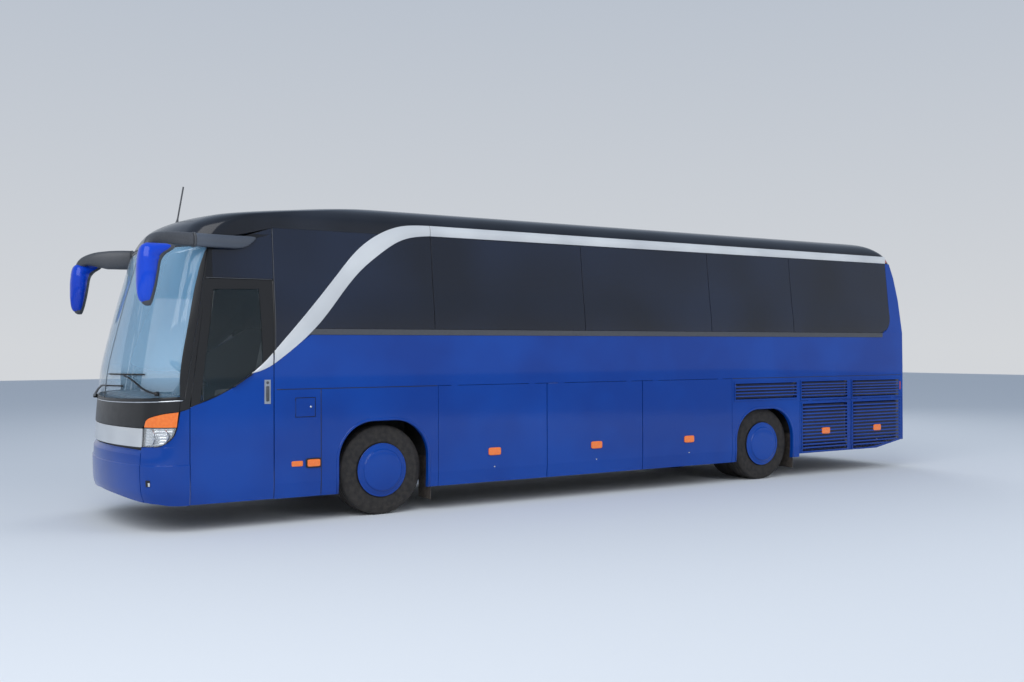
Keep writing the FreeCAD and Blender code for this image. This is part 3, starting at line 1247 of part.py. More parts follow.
def rim_points(inner_edge):
    """Wheel: barrel, disc with its hub boss, all one turned section."""
    outer = "sizes.rim_wide / 2"
    bore = "sizes.stub_radius + sizes.bearing_play"
    return [
        (inner_edge, "sizes.rim_radius - sizes.rim_wall"), (inner_edge, "sizes.rim_radius"),
        (outer, "sizes.rim_radius"), (outer, "sizes.rim_radius - sizes.rim_wall"),
        (DISC_FACE, "sizes.rim_radius - sizes.rim_wall"), (DISC_FACE, "sizes.hub_radius"),
        (BOSS_FACE, "sizes.hub_radius"), (BOSS_FACE, bore), ("-" + BOSS_BACK, bore),
        ("-" + BOSS_BACK, "sizes.hub_radius"),
        (DISC_FACE + " - sizes.rim_wall", "sizes.hub_radius"),
        (DISC_FACE + " - sizes.rim_wall", "sizes.rim_radius - sizes.rim_wall"),
    ]


# How far each ring of the hubcap stands out, as shares of its rise
cap_rise_shares = (0.45, 0.6, 1.1, 0.7, 0.5)


def cap_points():
    """Domed hubcap: lip, sloping shoulder and a raised flat disc."""
    face = "sizes.tyre_wide / 2"
    thick = "sizes.sheet_thick / 2"
    seat = "sizes.rim_wide / 2 + sizes.seat_gap"
    rises = ["%s + sizes.cap_rise * %g" % (face, share) for share in cap_rise_shares]
    return [
        (seat, "sizes.cap_disc + sizes.rim_wall / 2"), (seat, "sizes.rim_radius"),
        (face, "sizes.cap_radius"),
        ("%s + %s * 2" % (face, thick), "sizes.cap_radius"),
        (rises[0], "sizes.cap_radius - sizes.rim_wall"), (rises[1], "sizes.cap_disc"),
        ("%s + sizes.cap_rise" % face, "sizes.cap_disc - sizes.rim_wall / 2"),
        (rises[2], "0"), (rises[3], "0"), (rises[4], "sizes.cap_disc - sizes.rim_wall"),
    ]


WHEEL_X = "sizes.wheel_track / 2"
for side, name in ((1, "left"), (-1, "right")):
    wheel_at = "%d * %s" % (side, WHEEL_X)
    front_tyre = turned("front_tyre_" + name, tyre_points("0"))
    place(front_tyre, wheel_at, FRONT_AXLE, "sizes.tyre_radius", side)
    keep(front_tyre, "tyre_front_" + name)
    front_rim = turned("front_rim_" + name, rim_points("-sizes.rim_wide / 2"))
    front_cap = turned("front_cap_" + name, cap_points())
    front_wheel = joined("front_wheel_" + name, [front_rim, front_cap])
    place(front_wheel, wheel_at, FRONT_AXLE, "sizes.tyre_radius", side)
    keep(front_wheel, "rim_front_" + name)

    outer_tyre = turned("outer_tyre_" + name, tyre_points("0"))
    inner_tyre = turned("inner_tyre_" + name, tyre_points("-sizes.twin_pitch"))
    twin = joined("twin_tyres_" + name, [outer_tyre, inner_tyre])
    place(twin, wheel_at, REAR_AXLE, "sizes.tyre_radius", side)
    keep(twin, "tyres_rear_" + name)
    rear_rim = turned("rear_rim_" + name,
                      rim_points("-sizes.twin_pitch - sizes.rim_wide / 2"))
    rear_cap = turned("rear_cap_" + name, cap_points())
    rear_wheel = joined("rear_wheel_" + name, [rear_rim, rear_cap])
    place(rear_wheel, wheel_at, REAR_AXLE, "sizes.tyre_radius", side)
    keep(rear_wheel, "rims_rear_" + name)

# Knuckles: kingpin, carrier and stub; the front beam carries them in forked ends. The shares
# are kingpin radii: the carrier's swell, and how far the fork's post and the beam stand in.
swell_share, post_far_share, post_near_share, beam_in_share = 1.5, 4, 2.4, 3
SWELL = "sizes.kingpin_radius * %g" % swell_share
PIN_QUARTER = "sizes.kingpin_long / 4"
for side, name in ((1, "left"), (-1, "right")):
    kingpin_x = "%d * (%s - sizes.kingpin_offset)" % (side, WHEEL_X)
    hub_x = "%d * (%s)" % (side, WHEEL_X)
    pin = rod("kingpin_" + name, "sizes.kingpin_radius", "sizes.kingpin_long",
              (kingpin_x, FRONT_AXLE, "sizes.tyre_radius - sizes.kingpin_long / 2"), "z")
    swell = rod("swell_" + name, SWELL, "sizes.kingpin_long / 2",
                (kingpin_x, FRONT_AXLE, "sizes.tyre_radius - " + PIN_QUARTER), "z")
    stub_from = kingpin_x if side > 0 else "%s - %s" % (hub_x, DISC_FACE)
    stub = rod("stub_" + name, "sizes.stub_radius",
               "sizes.kingpin_offset + " + DISC_FACE,
               (stub_from, FRONT_AXLE, "sizes.tyre_radius"), "x")
    keep(joined("knuckle_all_" + name, [pin, swell, stub]), "knuckle_" + name)

BEAM_END = "(%s - sizes.kingpin_offset)" % WHEEL_X
beam = block("beam", across("%s - sizes.kingpin_radius * %g" % (BEAM_END, beam_in_share)),
             ("%s - sizes.beam_wide / 2" % FRONT_AXLE, "%s + sizes.beam_wide / 2" % FRONT_AXLE),
             ("sizes.tyre_radius - sizes.beam_drop - sizes.beam_deep",
              "sizes.tyre_radius - sizes.beam_drop"))
beam_parts = [beam]
for side, name in ((1, "left"), (-1, "right")):
    post_far = "%s - sizes.kingpin_radius * %g" % (BEAM_END, post_far_share)
    post_span = (post_far, "%s - sizes.kingpin_radius * %g" % (BEAM_END, post_near_share))
    ear_span = (post_far, BEAM_END)
    if side < 0:
        post_span = ("-(%s)" % post_span[1], "-(%s)" % post_span[0])
        ear_span = ("-(%s)" % ear_span[1], "-(%s)" % ear_span[0])
    width = ("%s - %s" % (FRONT_AXLE, SWELL), "%s + %s" % (FRONT_AXLE, SWELL))
    reach = PIN_QUARTER + " + sizes.panel_gap"
    thick = PIN_QUARTER + " - sizes.panel_gap * 2"
    low = ("sizes.tyre_radius - %s - (%s)" % (reach.replace("+", "-"), thick),
           "sizes.tyre_radius - %s" % reach.replace("+", "-"))
    high = ("sizes.tyre_radius + %s" % reach, "sizes.tyre_radius + %s + %s" % (reach, thick))
    beam_parts.append(block("fork_post_" + name, post_span, width, (low[0], high[1])))
    for level, ear in (("low", low), ("high", high)):
        beam_parts.append(block("fork_%s_%s" % (level, name), ear_span, width, ear))
        beam_parts.append(rod("ear_%s_%s" % (level, name), SWELL, thick,
                              ("%d * %s" % (side, BEAM_END), FRONT_AXLE, ear[0]), "z"))
    spring_x = "%d * sizes.rail_centre" % side
    beam_parts.append(rod("spring_front_" + name, "sizes.spring_radius",
                          "sizes.rail_low - sizes.seat_gap - sizes.tyre_radius + "
                          "sizes.beam_drop",
                          (spring_x, FRONT_AXLE, "sizes.tyre_radius - sizes.beam_drop"), "z"))
beam_all = joined("beam_all", beam_parts)
eyes = [rod("kingpin_eye_" + name, "sizes.kingpin_radius + sizes.pin_play",
            "sizes.kingpin_long * 2",
            ("%d * %s" % (side, BEAM_END), FRONT_AXLE,
             "sizes.tyre_radius - sizes.kingpin_long"), "z")
        for side, name in ((1, "left"), (-1, "right"))]
keep(without("front_axle_cut", beam_all, joined("kingpin_eyes", eyes)), "front_axle")

TUBE_END = "(%s - %s - sizes.panel_gap)" % (WHEEL_X, BOSS_BACK)
STUB_END = "(%s + %s)" % (WHEEL_X, BOSS_FACE)
neck_share, shoulder_shares, crown_share = 1.3, (0.75, 0.85), 0.3
half_section = [(STUB_END, "0"), (STUB_END, "sizes.stub_radius"), (TUBE_END, "sizes.stub_radius"),
                (TUBE_END, "sizes.housing_tube"),
                ("sizes.diff_radius * %g" % neck_share, "sizes.housing_tube"),
                tuple("sizes.diff_radius * %g" % share for share in shoulder_shares),
                ("sizes.diff_radius * %g" % crown_share, "sizes.diff_radius")]
axle_points = half_section + [("-(%s)" % u, v) for u, v in reversed(half_section)]
casing = turned("axle_casing", axle_points)
casing.setExpression("Placement.Base.y", REAR_AXLE)
casing.setExpression("Placement.Base.z", "sizes.tyre_radius")
rear_parts = [casing]
for side, name in ((1, "left"), (-1, "right")):
    rear_parts.append(rod("spring_rear_" + name, "sizes.rear_spring_radius",
                          "sizes.rail_low + sizes.rail_deep - sizes.seat_gap - "
                          "sizes.tyre_radius",
                          ("%d * sizes.rail_centre" % side, REAR_AXLE, "sizes.tyre_radius"),
                          "z"))
keep(joined("rear_axle_all", rear_parts), "rear_axle")

# Cabin: dashboard, steering wheel, driver's seat, passenger seats and racks
DASH_Y = "%s - sizes.dash_ahead" % FRONT_AXLE
inside(block("dash_block", across("sizes.dash_half"), ("%s - sizes.dash_deep" % DASH_Y, DASH_Y),
             ("sizes.dash_low", "sizes.dash_high")), "dashboard")

wheel_centre = Vector(s.driver_across, behind(-s.wheel_ahead), s.wheel_high)
wheel_turn = FreeCAD.Rotation(Vector(1, 0, 0), -s.wheel_tilt)
ring = Part.makeTorus(s.wheel_ring, s.wheel_tube)
spokes = [brick((-s.wheel_ring, s.wheel_ring), (-s.wheel_tube, s.wheel_tube),
                (-s.wheel_tube / 2, s.wheel_tube / 2)),
          brick((-s.wheel_tube, s.wheel_tube), (-s.wheel_ring, 0),
                (-s.wheel_tube / 2, s.wheel_tube / 2))]
column = Part.makeCylinder(s.column_radius, s.wheel_high - s.cab_floor,
                           Vector(0, 0, s.cab_floor - s.wheel_high))
steering = ring.fuse(spokes + [column])
steering.Placement = FreeCAD.Placement(wheel_centre, wheel_turn)
steering = steering.common(brick((-s.body_wide, s.body_wide), (nose_y, tail_y),
                                 (s.cab_floor, s.roof_high)))
steering = steering.cut(brick((-s.dash_half, s.dash_half),
                              (behind(-s.dash_ahead - s.dash_deep) - s.overrun,
                               behind(-s.dash_ahead) + s.seat_gap),
                              (s.dash_low - s.column_clear, s.dash_high + s.seat_gap)))
feature("steering_wheel", steering)


# A seat's back, in its own thickness: how deep its foot is, how far it leans, and how round.
# Then how far back a leg starts under the cushion, and half the driver's pedestal in seat widths
back_foot_share, lean_share, round_share = 0.6, 1.28, 1 / 3
leg_in_share, pedestal_share = 0.25, 1 / 3
seat_round = s.back_thick * round_share


def cushion_side(front_y, seat_low):
    """Side view of a seat cushion that faces the nose, rounded in front."""
    top = seat_low + s.cushion_thick
    return [(front_y, seat_low, seat_round), (front_y + s.seat_deep, seat_low),
            (front_y + s.seat_deep, top), (front_y, top, seat_round)]


def back_side(front_y, seat_low, top):
    """Side view of a raked seat back, whose foot stands upright behind the cushion."""
    foot_y = front_y + s.seat_deep
    head_y = foot_y + s.back_thick * lean_share
    return [(foot_y, seat_low), (foot_y + s.back_thick * back_foot_share, seat_low),
            (head_y + s.back_thick, top, seat_round), (head_y, top, seat_round),
            (foot_y, seat_low + s.cushion_thick)]


seat_low = s.floor_high + s.cushion_low
seat_wide_each = (s.seat_wide - s.seat_split) / 2
seat_legs = []
seat_cushions = []
seat_backs = []
for row in range(int(s.seat_rows)):
    seat_y = behind(s.seat_first + row * s.seat_pitch)
    in_stairs = mid_front_y - s.seat_pitch < seat_y < mid_rear_y
    for x_low in (s.seat_aisle, s.seat_aisle + seat_wide_each + s.seat_split):
        x_high = x_low + seat_wide_each
        leg_low = (x_low + x_high - s.leg_thick) / 2
        leg = brick((leg_low, leg_low + s.leg_thick),
                    (seat_y + s.seat_deep * leg_in_share, seat_y + s.seat_deep), (s.floor_high, seat_low))
        cushion = prism(cushion_side(seat_y, seat_low), "x", x_low, x_high)
        back = prism(back_side(seat_y, seat_low, s.floor_high + s.seat_tall), "x", x_low, x_high)
        for pieces, piece in ((seat_legs, leg), (seat_cushions, cushion), (seat_backs, back)):
            pieces.append(piece)
            if not in_stairs:
                pieces.append(mirrored(piece))
feature("seat_legs", Part.makeCompound(seat_legs))
feature("seat_cushions", Part.makeCompound(seat_cushions))
feature("seat_backs", Part.makeCompound(seat_backs))

driver_y = behind(-s.driver_ahead) - s.seat_deep / 2
driver_low = s.cab_floor + s.driver_low
driver_span = (s.driver_across - s.driver_wide / 2, s.driver_across + s.driver_wide / 2)
driver_seat = prism(cushion_side(driver_y, driver_low), "x", *driver_span)
driver_back = prism(back_side(driver_y, driver_low, s.cab_floor + s.seat_tall), "x", *driver_span)
pedestal_half = s.driver_wide * pedestal_share
pedestal = brick((s.driver_across - pedestal_half, s.driver_across + pedestal_half),
                 (driver_y + s.leg_thick, driver_y + s.seat_deep), (s.cab_floor, driver_low))
feature("driver_seat", driver_seat.fuse([driver_back, pedestal]))

rack_depth = -s.wall_thick - s.seat_gap
rack_outer = lean_x(s.rack_low, rack_depth)
rack_points = [(rack_outer, s.rack_low),
               (lean_x(s.rack_low + s.rack_thick, rack_depth), s.rack_low + s.rack_thick),
               (rack_outer - s.rack_deep + s.rack_thick, s.rack_low + s.rack_thick * 2),
               (rack_outer - s.rack_deep + s.rack_thick, s.rack_low + s.rack_lip),
               (rack_outer - s.rack_deep, s.rack_low + s.rack_lip),
               (rack_outer - s.rack_deep, s.rack_low + s.rack_thick)]
rack = prism(rack_points, "y", behind(s.seat_first),
             behind(s.seat_first + s.seat_pitch * s.seat_rows))
feature("luggage_racks", pair(rack))

# Mirrors: a tube from a fairing over each cab door, out past the corner and down to the head
head_top = s.mirror_high - s.arm_tube * 2


elbow_share = 0.96


def arm_path():
    """Centre line of one mirror arm, from the fairing to the top of the head."""
    lean_angle = math.atan(s.side_lean / (s.cant_high - s.belt_high))
    root_x = ring_at(s.arm_high)[0] + (s.arm_tube + s.seat_gap) / math.cos(lean_angle)
    return [Vector(root_x, behind(-s.arm_root_ahead), s.arm_high),
            Vector(root_x + s.arm_tube, behind(-(s.arm_root_ahead + s.mirror_ahead) / 2),
                   s.arm_high),
            Vector(s.mirror_out - s.mirror_wide / 2, behind(-s.mirror_ahead * elbow_share), s.arm_high),
            Vector(s.mirror_out, behind(-s.mirror_ahead), s.arm_high - s.arm_tube),
            Vector(s.mirror_out, behind(-s.mirror_ahead), head_top + s.seat_gap)]


def tube_along(points, radius):
    """Round bars from point to point with a ball at every bend."""
    solids = []
    for start, end in zip(points, points[1:]):
        solids.append(Part.makeCylinder(radius, (end - start).Length, start, end - start))
    for point in points[1:-1]:
        solids.append(Part.makeSphere(radius, point))
    return solids[0].fuse(solids[1:])


feature("mirror_arms", pair(tube_along(arm_path(), s.arm_tube)))

mirror_ring_shares = ((0.0, 0.34), (0.25, 0.6), (0.6, 0.85), (0.85, 1.0), (1.0, 0.8))


def mirror_head():
    """A shell that swells from a narrow foot to a wide head."""
    rings = []
    top = head_top
    for rise, width in mirror_ring_shares:
        height = s.mirror_low + rise * (top - s.mirror_low)
        ring_wire = Part.Wire(Part.Ellipse(Vector(0, 0, 0), s.mirror_wide / 2 * width,
                                           s.mirror_deep / 2 * width).toShape())
        ring_wire.Placement = FreeCAD.Placement(
            Vector(s.mirror_out, behind(-s.mirror_ahead), height), FreeCAD.Rotation())
        rings.append(ring_wire)
    return Part.makeLoft(rings, True, False)


feature("mirror_heads", pair(mirror_head()))

# Wipers, lamps and small outside pieces
wiper_foot = s.screen_low - s.door_frame


def wiper(pivot_x, tip_x):
    """One arm lying low over the screen, from its pivot under the glass to the tip."""
    lift_share = (0.0, 0.0, 0.35, 0.8)
    along_share = (0.0, 0.0, 0.4, 1.0)
    stand_off_share = (-1, 3, 3, 3)
    points = []
    for lift, along, off_share in zip(lift_share, along_share, stand_off_share):
        across_x = pivot_x + along * (tip_x - pivot_x)
        height = wiper_foot + lift * s.wiper_lift
        points.append(Vector(across_x, nose_at(across_x, height) - off_share * s.wiper_radius,
                             height))
    return tube_along(points, s.wiper_radius)


nose_clear = hull(-s.seat_gap, s.sill_high, s.cant_high)
feature("wipers", Part.makeCompound([wiper(pivot_x, pivot_x - s.wiper_long).cut(nose_clear)
                                     for pivot_x in (s.wiper_near, s.wiper_far)]))

fixed_marker = marker(behind(-s.flap_near) - s.marker_long / 2)
fixed_marker.translate(Vector(s.seat_gap, 0, 0))
feature("amber_lamps", Part.makeCompound([turn_lamp, mirrored(turn_lamp), fixed_marker,
                                          mirrored(fixed_marker)]))

mud_flaps = []
for axle_y in (front_axle_y, rear_axle_y):
    back_y = axle_y + s.housing_half + s.sheet_thick
    flap = brick((wheel_x - s.tyre_wide / 2, wheel_x + s.tyre_wide / 2),
                 (back_y, back_y + s.mud_thick), (s.mud_low, s.rail_low + s.rail_wide))
    mud_flaps += [flap, mirrored(flap)]
feature("mud_flaps", Part.makeCompound(mud_flaps))

aerial_y = behind(-s.aerial_ahead)
aerial_foot = nose_height(aerial_y)
aerial_turn = FreeCAD.Rotation(Vector(1, 0, 0), -s.aerial_lean)
aerial_foot_share, aerial_cone_share = 2.5, 1 / 6
rod_shape = Part.makeCone(s.aerial_radius * aerial_foot_share, s.aerial_radius,
                          s.aerial_tall * aerial_cone_share)
rod_shape = rod_shape.fuse(Part.makeCylinder(s.aerial_radius, s.aerial_tall))
rod_shape.Placement = FreeCAD.Placement(Vector(0, aerial_y, aerial_foot - s.wall_thick / 2),
                                        aerial_turn)
feature("aerial", rod_shape.cut(roof_outer))


def check(items):
    """Stops if any object failed or any sub-part has no sound solid."""
    for item in doc.Objects:
        if "Invalid" in item.State or "Error" in item.State:
            raise RuntimeError("%s failed: %s" % (item.Name, item.State))
    for item in items:
        if item.Shape.isNull() or not item.Shape.isValid() or not item.Shape.Solids:
            raise RuntimeError("%s has no sound solid" % item.Label)


doc.recompute()
check(nodes)
os.makedirs("parts", exist_ok=True)
for item in nodes:
    item.Shape.exportStep("parts/%s.step" % item.Label)
print("%d sub-parts written" % len(nodes))
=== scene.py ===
# %% [markdown]
# A high-floor coach bus, dressed around its measured frame. The frame brings every door, flap,
# wheel and seat as a plain solid on its own body. This lesson gives them the curved skins,
# glass, lamps and trim that the eye expects, and each new piece rides the body that carries it.

# %% Setup
import bmesh
import bpy
import json
import math
import mathutils
import numpy as np
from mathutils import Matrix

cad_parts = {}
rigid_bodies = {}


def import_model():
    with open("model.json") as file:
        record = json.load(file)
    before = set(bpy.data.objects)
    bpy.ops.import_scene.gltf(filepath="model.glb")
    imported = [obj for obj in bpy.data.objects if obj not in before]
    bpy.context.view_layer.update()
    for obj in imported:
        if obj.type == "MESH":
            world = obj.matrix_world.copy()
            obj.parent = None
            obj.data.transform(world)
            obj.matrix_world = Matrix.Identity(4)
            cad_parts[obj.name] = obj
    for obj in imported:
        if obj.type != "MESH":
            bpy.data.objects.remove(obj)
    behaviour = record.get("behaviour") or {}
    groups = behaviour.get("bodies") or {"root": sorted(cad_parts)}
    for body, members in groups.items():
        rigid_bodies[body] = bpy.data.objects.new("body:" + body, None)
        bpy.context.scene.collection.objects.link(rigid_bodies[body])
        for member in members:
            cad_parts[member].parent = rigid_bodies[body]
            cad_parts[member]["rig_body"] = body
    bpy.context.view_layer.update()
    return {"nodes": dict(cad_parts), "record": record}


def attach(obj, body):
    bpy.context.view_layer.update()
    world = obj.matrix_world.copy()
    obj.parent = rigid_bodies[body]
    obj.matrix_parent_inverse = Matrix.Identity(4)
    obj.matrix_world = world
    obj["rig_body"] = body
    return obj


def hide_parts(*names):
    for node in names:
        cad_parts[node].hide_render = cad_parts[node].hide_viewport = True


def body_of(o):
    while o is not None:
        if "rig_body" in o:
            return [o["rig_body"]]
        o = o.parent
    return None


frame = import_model()

# %% [markdown]
# The camera comes first, so that every later choice can be judged from the photograph's own
# place: nearly level, eye height, ahead of the driver's corner and turned along the flank.

# %% Camera
IMAGE_WIDE, FOCAL_PIXELS = 1024, 1096.0
SENSOR = 36.0  # millimetres
EYE = (12.60, -8.82, 1.91)
YAW, PITCH, ROLL = (math.radians(angle) for angle in (147.21, 0.36, -0.16))


def placed(name, data):
    """A new object, linked to the scene."""
    thing = bpy.data.objects.new(name, data)
    bpy.context.scene.collection.objects.link(thing)
    return thing


sight = bpy.data.cameras.new("sight")
sight.sensor_width = SENSOR
sight.lens = FOCAL_PIXELS / IMAGE_WIDE * SENSOR
camera = placed("camera", sight)
ahead = np.array([math.cos(PITCH) * math.cos(YAW), math.cos(PITCH) * math.sin(YAW),
                  math.sin(PITCH)])
right = np.cross(ahead, [0, 0, 1])
right /= np.linalg.norm(right)
upward = np.cross(right, ahead)
matrix = np.eye(4)
matrix[:3] = np.stack([math.cos(ROLL) * right + math.sin(ROLL) * upward,
                       math.cos(ROLL) * upward - math.sin(ROLL) * right, -ahead, EYE], 1)
camera.matrix_world = mathutils.Matrix(matrix.tolist())
bpy.context.scene.camera = camera
print("lens %.1f mm" % sight.lens)

# %% [markdown]
# Materials. Each starts from the real finish: two-coat automotive paint, moulded ABS, tinted
# safety glass, vulcanised rubber. Colours are written as hex and turned to linear light once.
# Patterns are noises on Object coordinates whose grains are given in millimetres, so that they
# have their real size on the bus and stay where they are when a door swings.

# %% Colour and node helpers
def linear(hexcode):
    """A hex colour as linear red, green, blue and a full alpha."""
    parts = np.array([int(hexcode[at:at + 2], 16) for at in (0, 2, 4)]) / 255
    bright = np.where(parts <= 0.04045, parts / 12.92, ((parts + 0.055) / 1.055) ** 2.4)
    return (*bright, 1.0)


def add(material, kind, output, settings=None, into=None, **links):
    """One node of a kind, as in ShaderNodeMath without its first two words. Its settings are
    set, and each input, by name or as in0, in1 and so on, is fed by a value or by another
    output. Gives the asked output, which also feeds the socket into, where one is given."""
    node = material.node_tree.nodes.new("ShaderNode" + kind)
    for key, value in (settings or {}).items():
        setattr(node, key, value)
    for key, value in links.items():
        socket = node.inputs[int(key[2:]) if key.startswith("in") else key]
        if isinstance(value, bpy.types.NodeSocket):
            material.node_tree.links.new(value, socket)
        else:
            socket.default_value = value
    if into is not None:
        material.node_tree.links.new(node.outputs[output], into)
    return node.outputs[output]


def shader_of(material):
    """The sockets of a material's shader."""
    return material.node_tree.nodes["Principled BSDF"].inputs


FINE = 3.0  # the usual detail of a noise
BUMP = 0.6  # the strength of every bump


def surface(name, base, roughness, drift=None, gloss=None, bump=None, bump_to="Normal",
            **constants):
    """A material from up to three noises. drift is (grain in mm, detail, dark, light), with
    the noise's range after it where that isn't the usual one, and moves the colour. gloss is
    (grain, least, most) and moves the roughness. bump is (grain, depth in mm, detail)."""
    material = bpy.data.materials.new(name)
    material.use_nodes = True
    sockets = shader_of(material)
    sockets["Base Color"].default_value = linear(base)
    sockets["Roughness"].default_value = roughness
    for key, value in constants.items():
        sockets[key.replace("_", " ")].default_value = value

    def grains(wide, detail):
        where = add(material, "TexCoord", "Object")
        return add(material, "TexNoise", "Fac", Vector=where, Scale=1000.0 / wide,
                   Detail=detail)

    if drift:
        wide, detail, dark, light, *window = drift
        ramp = add(material, "ValToRGB", "Color", None, sockets["Base Color"],
                   Fac=grains(wide, detail)).node.color_ramp.elements
        for stop, place, colour in zip(ramp, window or (0.35, 0.65), (dark, light)):
            stop.position, stop.color = place, linear(colour)
    if gloss:
        wide, least, most = gloss
        add(material, "MapRange", "Result", {"clamp": True}, sockets["Roughness"],
            Value=grains(wide, FINE), in3=least, in4=most)
    if bump:
        wide, depth, detail = bump
        add(material, "Bump", "Normal", None, sockets[bump_to],
            Height=grains(wide, detail), Distance=depth / 1000.0, Strength=BUMP)
    return material


print("mid grey in linear light: %.3f" % linear("808080")[0])

# %% [markdown]
# Paint. One flat colour would look like plastic: gloss paint is known by what it mirrors. Its
# colour hardly moves, a clear coat lies on top, and a faint orange peel breaks the mirrored
# edges. One recipe with its colours as arguments serves every painted piece. The walls and
# doors are sprayed in two colours, so theirs changes along a straight line.

# %% Paints
EDGE_ON = 0.05  # a face this nearly edge on to the middle keeps the outside's colour


def painted(name, dark, light, metallic=0.0, haze=0.03):
    """Two-coat paint: colour drifts softly, a clear coat lies over a little orange peel. haze
    is the clear coat's roughness."""
    return surface(name, light, 0.32, (900.0, 2.0, dark, light), (260.0, 0.26, 0.38),
                   (14.0, 0.02, 1.0), "Coat Normal", Metallic=metallic, Coat_Weight=0.6,
                   Coat_Roughness=haze, Coat_IOR=1.5, Specular_IOR_Level=0.1)


def masked(name, mask_line, colour, rear=100.0, lining=None):
    """Blue paint that turns to another colour above a height, ahead of a place: the sprayer
    masks one straight line, so the change is crisp. The lining is what the saloon side of a
    wall shows: where a face looks towards the middle, place across times normal is negative."""
    material = painted(name, BLUE_DARK, BLUE_LIGHT)
    base = shader_of(material)["Base Color"]
    where = add(material, "TexCoord", "Object")
    place = add(material, "SeparateXYZ", "X", Vector=where).node.outputs
    above = add(material, "Math", "Value", {"operation": "GREATER_THAN"},
                in0=place["Z"], in1=mask_line)
    ahead_of = add(material, "Math", "Value", {"operation": "LESS_THAN"},
                   in0=place["Y"], in1=rear)
    layers = [(colour, add(material, "Math", "Value", {"operation": "MULTIPLY"},
                           in0=above, in1=ahead_of))]
    if lining:
        normal = add(material, "NewGeometry", "Normal")
        facing = add(material, "SeparateXYZ", "X", Vector=normal)
        inwards = add(material, "Math", "Value", {"operation": "MULTIPLY"},
                      in0=place["X"], in1=facing)
        layers.append((lining, add(material, "Math", "Value", {"operation": "LESS_THAN"},
                                   in0=inwards, in1=-EDGE_ON)))
    for over, factor in layers:
        add(material, "Mix", 2, {"data_type": "RGBA"}, base, in0=factor,
            in6=base.links[0].from_socket, in7=linear(over))
    return material


BLUE_DARK, BLUE_LIGHT, WINDOW_BLACK, LINING = "00368a", "003f98", "121419", "6a6d72"
BELT, LAST_PANE, DOOR_BLUE_TOP = 2.06, 5.35, 1.32  # heights, and a place along the bus
blue_paint = painted("royal_blue_two_coat_paint", BLUE_DARK, BLUE_LIGHT)
wall_paint = masked("blue_and_black_masked_paint", BELT, WINDOW_BLACK, LAST_PANE, LINING)
door_paint = masked("blue_door_with_black_frame_paint", DOOR_BLUE_TOP, WINDOW_BLACK)
# The roof's coat is hazed by weather; metallic coats have flakes that catch the light.
charcoal_paint = painted("charcoal_two_coat_paint", "171a21", "20242d", haze=0.12)
fairing_paint = painted("grey_metallic_fairing_paint", "4c525c", "5b626d", 0.25, 0.10)
# The louvre plates' navy is painted shade: the dark of the openings behind the slats.
louvre_shade = painted("louvre_painted_shade_navy", "050924", "0a0f33")
silver_paint = painted("silver_metallic_paint", "c4c7ca", "d6d9db", 0.25)
mirror_paint = painted("bright_blue_moulded_shell", "0639b6", "0a46ca")
plate_grey = painted("light_grey_zinc_plate", "868c95", "979da6", 0.2)
print(len(bpy.data.materials), "paints")

# %% [markdown]
# The other solid finishes are matt or grained, and differ in what breaks their gloss: grain on
# moulded plastic, dust on rubber, fibre on cloth. A noise at the real grain's size serves all
# but the moquette, whose threads cross at right angles, so two waves make its weave.

# %% Rubber, plastic, cloth and steel
# Carbon-black rubber is matt, and road dust browns it in patches.
rubber = surface("vulcanised_tyre_rubber", "2a2725", 0.78, (60.0, FINE, "211f1e", "322e2b"),
                 bump=(4.0, 0.4, FINE))
flap_rubber = surface("weathered_flap_rubber", "403a35", 0.7,
                      (45.0, FINE, "352f2b", "4b443e"), bump=(5.0, 0.3, FINE))
# Moulded trim keeps one colour and shines unevenly; grained ABS scatters what it mirrors.
black_trim = surface("black_moulded_trim", "141416", 0.35, gloss=(80.0, 0.28, 0.42),
                     bump=(3.0, 0.05, FINE))
grey_plastic = surface("grey_grained_abs", "46484c", 0.45, (12.0, FINE, "424448", "4b4d52"),
                       bump=(2.5, 0.1, FINE))
# Seat cloth: short fibres give a pale sheen at its edges. Its thread is drawn at 3 mm to show.
seat_grey = surface("light_grey_seat_cloth", "8a908e", 0.8,
                    (18.0, 4.0, "7a807e", "9aa09d", 0.42, 0.58), bump=(3.0, 0.5, FINE),
                    Sheen_Weight=0.3, Sheen_Roughness=0.5)
# Dipped steel under the body: dull, with a film of dirt.
steel = surface("dark_coated_steel", "1d1d1f", 0.6, (50.0, FINE, "161617", "2a2927"),
                bump=(6.0, 0.2, FINE))
# Vacuum-deposited metal on a moulded bowl: a mirror with a slight cloud.
chrome = surface("vacuum_chromed_reflector", "d8dadc", 0.12, (60.0, FINE, "cfd2d5", "dfe1e3"),
                 (25.0, 0.08, 0.18), Metallic=1.0)

# The two waves, one along each thread, multiply into a grid of loops.
fabric = surface("woven_seat_moquette", "3c4658", 0.85,
                 (22.0, 4.0, "2c3446", "4e5a70", 0.42, 0.58), Sheen_Weight=0.35,
                 Sheen_Roughness=0.5)
THREAD = 6.0  # millimetres, coarser than the real one so that it shows
warp, weft = (add(fabric, "TexWave", "Fac", {"bands_direction": axis},
                  Vector=add(fabric, "TexCoord", "Object"),
                  Scale=1000.0 / THREAD / (2 * math.pi), Distortion=0.6)
              for axis in ("X", "Z"))
add(fabric, "Bump", "Normal", None, shader_of(fabric)["Normal"], Strength=BUMP,
    Height=add(fabric, "Math", "Value", {"operation": "MULTIPLY"}, in0=warp,
               in1=weft), Distance=0.0008)
print(len(bpy.data.materials), "finishes so far")

# %% [markdown]
# Glass could let light through its body, but a thin sheet bends it so little that a gloss skin
# whose alpha says how much of the inside shows looks the same and costs less. Side glass is
# tinted almost black. A lamp's lens adds the flutes that are moulded inside it.

# %% Glass and lenses
SHADE_DEEP = 0.34  # metres


